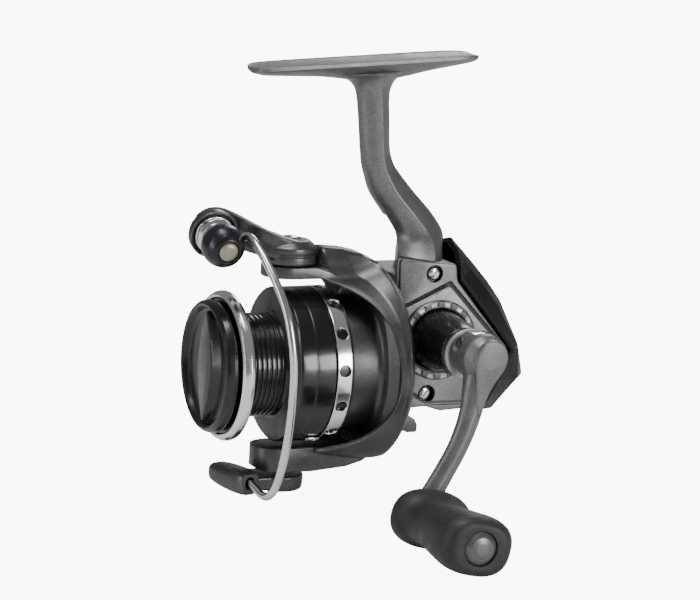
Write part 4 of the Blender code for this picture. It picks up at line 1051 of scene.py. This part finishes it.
def rotor():
    """The cup, and the bowl whose front rim sweeps forward into the two arms."""
    rows = flowing(BOWL, 6)
    rows += [(360 - row[0], *row[1:]) for row in reversed(rows[1:-1])]
    rings = []
    for angle, *numbers in rows:
        turn = radians(angle)
        rings.append([(x, -r * sin(turn), r * cos(turn)) for r, x in bowl_section(*numbers)])
    made = skin("rotor", rings, wrap=True, sharp=30)
    upper_side = rounded([
        (-44.2, 22.8, 0), (-44.2, 25.8, 0), (-31.4, 25.8, 3), (-24.6, 23.6, 0), (-24.6, 22.8, 0),
    ], 0)
    lower_side = rounded([
        (-44.6, -ARM_INNER, 0.3), (-44.6, -26.6, 1.2), (-30.6, -27, 3), (-21, -26.1, 4),
        (-16.4, -24.8, 3), (-13.2, -22.4, 1), (-13.2, -ARM_INNER, 0.3),
    ], 1)
    fuse(
        made,
        arm_pad("upper_arm", upper_side, -44, -24.6, 20, 30, 0.35),
        arm_pad("lower_arm", lower_side, -44.6, -12, -30, -15, 0.7),
    )
    carve(
        made,
        plate("arm_pocket", rounded([(-42.4, -4.3, 3), (-42.4, 4.3, 3), (-22, 4.3, 0.5),
                                     (-22, -4.3, 0.5)], 1), -26, -19, "xy", top=0, bottom=0),
        plate("lid_recess", outset(rounded(LID, 1), 0.3), -22.1, -19, "xy", top=0, bottom=0),
        peg("upper_screw_way", 1.3, 22, 28, "z", PIVOT),
        peg("lower_screw_way", 1.3, -29, -25, "z", PIVOT),
    )
    piece(made, "rotor", "rotor_grey")


def lower_arm_cover():
    made = plate("lower_arm_cover", rounded(LID, 1), -21.8, -ARM_INNER, "xy", top=0.2, bottom=0.1)
    piece(made, "rotor", "rotor_grey")


# ---- Bail ----

def bail_ring(x, y_low, y_high, z_low, z_high):
    """A slice of the bail arm with a crisp near top edge and a scooped near side."""
    dy, dz = y_high - y_low, z_high - z_low
    cage = [
        (y_low + 0.1 * dy, z_low), (y_low + 0.6 * dy, z_low - 0.02 * dz),
        (y_high - 0.1 * dy, z_low + 0.12 * dz), (y_high, z_low + 0.4 * dz),
        (y_high - 0.04 * dy, z_high - 0.3 * dz), (y_high - 0.26 * dy, z_high - 0.04 * dz),
        (y_low + 0.42 * dy, z_high), (y_low + 0.12 * dy, z_high - 0.04 * dz),
        (y_low + 0.02 * dy, z_high - 0.12 * dz), (y_low + 0.07 * dy, z_high - 0.45 * dz),
        (y_low, z_low + 0.2 * dz),
    ]
    return [(x, y, z) for y, z in flowing(cage, 3, closed=True)]


def bail_arm():
    """A bevelled pivot disc, a scooped arm and the round end that holds the roller."""
    disc = [
        (0, 26.2), (6.7, 26.2), (6.95, 26.5), (6.95, 28.2), (6.6, 28.5), (6.6, 28.8), (7, 29.1),
        (7, 30.5), (6.6, 30.9), (5, 32.2), (0, 32.5),
    ]
    made = lathe("bail_arm", disc, "z", PIVOT, soften=0.25, around=128)
    stations = [
        (-32.6, -3.6, 3.6, 28, 31.6), (-38, -5.2, 4.8, 27, 32.9),
        (-43, -4.6, 5.4, 27.6, 34.6), (-47, -2, 5.9, 28.8, 36.6),
        (-50.5, 1.8, 6.7, 29.6, 38.4), (-54, 3.4, 7.2, 29, 39.6),
        (-57.5, 3.6, 7.2, 28.4, 39.4), (-60.4, 3.4, 6.7, 29.6, 37.8),
    ]
    end = [
        (0, -5.2), (3.4, -5), (5.2, -4.2), (6.2, -2.9), (6.3, -0.6), (5.7, -0.5), (5.6, -1.75),
        (0, -1.75),
    ]
    fuse(
        made,
        swept("bail_arm_shape", bail_ring, stations),
        lathe("roller_end", end, ROLLER_ALONG, ROLLER, soften=0.3),
    )
    melt(made, 0.2, 6)
    carve(
        made,
        peg("arm_screw_seat", 2.75, 31.6, 36, "z", PIVOT, tip=2.9),
        peg("arm_screw_way", 1.3, 25, 33, "z", PIVOT),
        peg("roller_room", 5.3, -1.74, 14, ROLLER_ALONG, ROLLER, around=96),
    )
    piece(made, "bail", "rotor_grey")


def bail_wire():
    """The polished bow from beside the cone round the spool to the lower lever."""
    points = [
        (-53.6, -5.4, 33), (-52.4, -6, 33.9), (-51.4, -7.6, 34.3), (-51.2, -10.4, 33.9),
        (-50.8, -13.4, 32.2), (-49.9, -17, 29.2), (-48.6, -21.6, 24.2), (-47.4, -25.4, 18.4),
        (-46.5, -27.5, 11.5), (-45.9, -28.1, 4.6), (-45.6, -27.5, -2.4), (-45.4, -26.2, -10.4),
        (-45.4, -24.2, -17.8), (-45.6, -21.6, -24.2), (-45.9, -19.2, -28.2), (-46.3, -16.4, -30.3),
        (-46.9, -13.8, -30.4), (-47.6, -11.2, -29.3), (-48.2, -9.4, -28.6), (-48.9, -7.2, -28.2),
    ]
    line = [Vector(point) for point in flowing(points, 6)]
    radius, turns = 1.05, [2 * pi * k / 28 for k in range(28)]
    across = Vector((1, 0, 0))
    rings = []
    for i, point in enumerate(line):
        ahead = (line[min(i + 1, len(line) - 1)] - line[max(i - 1, 0)]).normalized()
        across = (across - ahead * across.dot(ahead)).normalized()
        up = ahead.cross(across)
        rings.append([point + radius * (across * cos(a) + up * sin(a)) for a in turns])
    piece(skin("bail_wire", rings), "bail", "polished_steel")


def end_lever():
    """The bail's lower lever: a disc on its pivot and a bar with the wire's socket."""
    disc = [
        (0, -32.2), (5.9, -32.2), (6.3, -31.8), (6.5, -30.8), (6.6, -28.6), (6.5, -28.25),
        (0, -28.2),
    ]
    made = lathe("bail_end_lever", disc, "z", PIVOT, soften=0.25, around=128)
    link = rounded([
        (-37, -5.4, 0), (-46.6, -5.4, 1), (-51.6, 2.4, 1.5), (-50.2, 5.2, 1.5), (-37, 5.4, 0),
    ], 1)
    along, start = Vector((-4.9, 13, 1)), Vector((-47.9, -8.9, -28.9))
    side = Vector((0.93, 0.35, 0))
    bar = []
    shape = (
        (-0.015, 2.5, 2.5), (0, 2.8, 2.8), (0.12, 3.3, 3.05), (0.4, 3.45, 3.15), (0.7, 3.25, 2.85),
        (0.9, 2.8, 2.4), (0.98, 2.2, 1.8), (1, 1.5, 1.2),
    )
    for share, wide, tall in shape:
        centre = start + along * share
        slice_ = squarish(wide, tall, 0.62, 40)
        bar.append([centre + side * u + Vector((0, 0, v)) for u, v in slice_])
    fuse(
        made,
        plate("lever_link", link, -31.6, -28.3, "xy", top=0.4, bottom=0.4),
        skin("lever_bar", flowing_rings(bar, 3)),
    )
    melt(made, 0.2, 4)
    carve(
        made,
        peg("wire_socket", 1.6, -4, 2.5, (-0.35, 0.93, 0.1), (-48.3, -9, -28.6)),
        peg("lever_screw_seat", 2.6, -33, -31, "z", PIVOT, tip=2.4),
        peg("lever_screw_way", 1.3, -32, -27, "z", PIVOT),
    )
    piece(made, "bail", "rotor_grey")


def build_bail():
    bail_arm()
    bail_wire()
    end_lever()
    screw("bail_arm_screw", 2.4, 0.95, 33.1, 31.9, 24, "z", PIVOT, "bail")
    screw("end_lever_screw", 2, 0.95, -32.1, -31.3, -26.6, "z", PIVOT, "bail")
    washer = [(1.5, -1.5), (5, -1.5), (5.1, -1), (4.9, -0.5), (1.5, -0.5)]
    turned("roller_washer", washer, ROLLER_ALONG, ROLLER, "bail", "polished_aluminium", 0.12)
    roller = [
        (1.6, -0.2), (4.55, -0.2), (4.6, 0.1), (3.8, 0.8), (3.65, 1.5), (3.8, 2.2), (4.6, 2.9),
        (4.55, 3.2), (1.6, 3.2),
    ]
    turned("line_roller", roller, ROLLER_ALONG, ROLLER, "line_roller", "polished_steel", 0.3)
    cone = [
        (1.5, 3.5), (4.5, 3.5), (4.9, 3.65), (5.35, 4.4), (5.5, 5.6), (5.4, 7), (4.95, 8.3),
        (4.1, 9.5), (3.2, 10.15), (2.75, 10.2), (2.7, 9), (1.5, 9),
    ]
    turned("bail_cone", cone, ROLLER_ALONG, ROLLER, "bail", "cone_black", 0.5)
    tip = [
        (0, 10.75), (1.5, 10.7), (2.1, 10.5), (2.5, 10.05), (2.55, 9.3), (1.3, 9.3), (1.3, -1.5),
        (0, -1.5),
    ]
    turned("roller_screw", tip, ROLLER_ALONG, ROLLER, "bail", "end_tan", 0.2)


# ---- Spool ----

SKIRT_HOLES, FIRST_HOLE, CLIP_ANGLE = 13, -74.5, 242


def spool():
    """Front recess and lip, a grooved arbor, the rear flange and the long skirt."""
    arbor, front, back, grooves = 13.2, -50.6, -41.4, 7
    pitch = (back - front) / grooves
    lines = []
    for i in range(grooves):
        start = front + i * pitch
        lines += [
            (arbor, start + 0.12 * pitch, 0.1), (arbor, start + 0.62 * pitch, 0.1),
            (arbor - 0.4, start + 0.74 * pitch, 0.1), (arbor - 0.4, start + 0.96 * pitch, 0.1),
        ]
    profile = [
        (2, -47.2), (11.8, -47.2), (11.8, -54.6), (17, -54.6), (17.4, -53.6, 0.2),
        (17.2, -51.9, 0.3), (16, -51.5, 1), (13.6, -51.2, 0.6),
    ] + lines + [
        (arbor, -40.7, 0.4), (14.2, -40.4, 0.6), (19.2, -40.1, 0.3), (19.7, -39.6, 0.3),
        (19.7, -35.9, 0.1), (19.62, -35.8, 0.05), (19.62, -35.5, 0.05), (19.7, -35.4, 0.1),
        (19.7, -30.7, 0.15), (19.4, -30.4, 0.1), (19, -30.35, 0.1), (19, -26.2, 0.1),
        (19.35, -26.1, 0.1), (19.5, -25.9, 0.1), (19.3, -25.6, 0.1), (18.4, -25.6), (18.2, -38.8),
        (12, -38.8), (12, -45.4), (2, -45.4),
    ]
    made = lathe("spool", profile, "x", soften=0.2, around=192, steps=3)

    def on_flange(centre, _normal):
        return -40.75 < centre.x < -39.95 and 13.5 < Vector((centre.y, centre.z)).length < 19.3

    two_tone(made, "spool_black", "flange_grey", on_flange)
    piece(made, "spool", "spool_black")


def skirt_band():
    """The bright band with a row of countersunk holes."""
    section = [(19.15, -30.2), (19.72, -30.2), (19.8, -30.05), (19.8, -26.45), (19.72, -26.3),
               (19.15, -26.3)]
    made = lathe("skirt_band", section, "x", soften=0.08, around=200)
    holes = []
    for i in range(SKIRT_HOLES):
        angle = radians(360 * i / SKIRT_HOLES + FIRST_HOLE)
        out = (0, cos(angle), sin(angle))
        sunk = [(0, 17), (1.5, 17), (1.5, 19.6), (1.65, 19.85), (1.65, 21), (0, 21)]
        holes.append(lathe(f"hole_{i}", sunk, out, (-28.25, 0, 0), soften=0, around=32))
    piece(carve(made, *holes), "spool", "polished_aluminium")


def line_clip():
    """A sprung tab with a rolled end that holds the loose line against the skirt."""
    angle = radians(CLIP_ANGLE)
    out = Vector((0, cos(angle), sin(angle)))
    turn = Matrix((Vector((1, 0, 0)), out.cross(Vector((1, 0, 0))), out)).transposed().to_4x4()
    place = Matrix.Translation(Vector((-32.2, 0, 0)) + out * 20.2) @ turn
    outline = rounded([(-1.9, -1.5, 0.7), (1.9, -1.2, 0.5), (1.9, 1.2, 0.5), (-1.9, 1.5, 0.7)], 0.6)
    made = plate("line_clip", outline, -0.22, 0.22, "xy", top=0.14, bottom=0.1, matrix=place)
    dimple = lathe("clip_rivet", [(0, 0.1), (0.62, 0.1), (0.55, 0.34), (0, 0.42)], "z",
                   (0.7, 0, 0), soften=0.08, around=32)
    dimple.data.transform(GEARBOX @ place @ GEARBOX.inverted())
    piece(fuse(made, dimple), "spool", "polished_steel")


def drag_knob():
    """A dished gloss knob with a tapered raised fin across it."""
    profile = [
        (0, -54.2), (3.4, -54.2), (3.4, -51.4), (11.2, -51.4), (11.3, -55), (16.2, -55.3),
        (16.75, -55.8), (16.9, -56.6), (16.7, -57.9), (16.2, -58.6), (15.7, -58.85),
        (15.2, -58.6), (14.9, -58.1), (14.5, -57.2), (13.6, -56.9), (9, -56.5), (0, -56.4),
    ]
    made = lathe("drag_knob", profile, "x", soften=0.3, around=160)
    levels = ((-56, 1, 1), (-56.6, 1, 1), (-58.15, 0.72, 0.985), (-58.45, 0.67, 0.97),
              (-58.55, 0.6, 0.94))
    rings = []
    for x, wide, tall in levels:
        half = flowing([(-14.3, 0.5), (-11.5, 2.6), (-6.5, 5.6), (0, 7), (6.5, 5.6), (11.5, 2.6),
                        (14.3, 0.5)], 5)
        outline = half + [(z, -y) for z, y in reversed(half)]
        rings.append([(x, y * wide, z * tall) for z, y in outline])
    fuse(made, skin("fin", rings, sharp=20))
    piece(made, "drag_knob", "gloss_black")


def build_spool():
    spool()
    lip = [(17.3, -55), (17.9, -55.1), (18.5, -54.7), (18.95, -53.9), (19.05, -53),
           (18.8, -52.2), (18.2, -51.75), (17.5, -51.8), (17.3, -52.4)]
    turned("spool_lip_ring", lip, "x", SHAFT, "spool", "polished_aluminium", 0.2, around=192)
    skirt_band()
    line_clip()
    drag_knob()


# ---- The CAD nodes that stay ----

def dress_carried_nodes():
    """Gives every CAD node that is still shown its procedural finish."""
    for thing in frame["nodes"].values():
        if thing.hide_render:
            continue
        slots = thing.data.materials
        named = slots[0].name.split(".")[0] if slots and slots[0] else ""
        chosen = FINISHES.get(named, FINISHES["bearing_steel"])
        if not slots:
            slots.append(chosen)
        for i in range(len(slots)):
            slots[i] = chosen


# ---- Stage ----

LOOK_AT = Vector((-3.9, 0, -61.3)) * MM
AZIMUTH, ELEVATION = radians(23.4), radians(11.95)
DISTANCE, LENS = 0.893, 180  # metres, millimetres
PALE, AMBIENT = 9, 0.22  # brightness of the surround, as the camera sees it and as it lights


def stage_floor():
    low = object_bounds()[0]
    mesh = bpy.data.meshes.new("floor")
    half = 6
    corners = [(-half, -half, 0), (half, -half, 0), (half, half, 0), (-half, half, 0)]
    mesh.from_pydata(corners, [], [(0, 1, 2, 3)])
    floor = placed("floor", mesh)
    floor.location.z = low.z - 0.4 * MM
    made = bpy.data.materials.new("floor")
    made.use_nodes = True
    tree = made.node_tree
    at = add(tree, "TexCoord").outputs["Object"]
    tone = noise(tree, at, 0.6, 3)
    base = mixed(tree, tone, (0.84, 0.84, 0.84, 1), (0.88, 0.88, 0.88, 1))
    seen = add(tree, "LightPath").outputs["Is Camera Ray"]
    feed(tree, tree.nodes["Principled BSDF"], {
        "Base Color": base, "Roughness": 0.6, "Emission Color": (1, 1, 1, 1),
        "Emission Strength": maths(tree, "MULTIPLY", seen, PALE),
    })
    mesh.materials.append(made)


def light(name, at, size, power, tall=None):
    """A soft area light that faces the reel."""
    data = bpy.data.lights.new(name, "AREA")
    adjust(data, energy=power, shape="RECTANGLE", size=size, size_y=tall or size)
    thing = placed(name, data)
    thing.location = at
    thing.rotation_euler = (LOOK_AT - Vector(at)).to_track_quat("-Z", "Y").to_euler()


def studio():
    world = bpy.data.worlds.new("studio")
    bpy.context.scene.world = world
    world.use_nodes = True
    tree = world.node_tree
    seen = add(tree, "LightPath").outputs["Is Camera Ray"]
    strength = ranged(tree, seen, 0, 1, AMBIENT, PALE)
    feed(tree, tree.nodes["Background"], {"Color": (1, 1, 1, 1), "Strength": strength})
    light("key", (0.45, -0.95, 0.1), 0.32, 6, 0.36)
    light("top", (-0.1, -0.1, 0.95), 0.5, 8)
    light("left", (-0.9, -0.15, 0.25), 0.1, 2.4, 0.8)
    light("rim", (0.5, 0.7, 0.35), 0.3, 1.6)


def camera():
    level = cos(ELEVATION)
    back = Vector((-sin(AZIMUTH) * level, -cos(AZIMUTH) * level, sin(ELEVATION)))
    data = bpy.data.cameras.new("camera")
    adjust(data, lens=LENS, clip_start=0.05, clip_end=30)
    thing = placed("camera", data)
    thing.location = LOOK_AT + back * DISTANCE
    thing.rotation_euler = (-back).to_track_quat("-Z", "Y").to_euler()
    bpy.context.scene.camera = thing


build_body()
build_handle()
rotor()
lower_arm_cover()
build_bail()
build_spool()
dress_carried_nodes()
stage_floor()
studio()
camera()
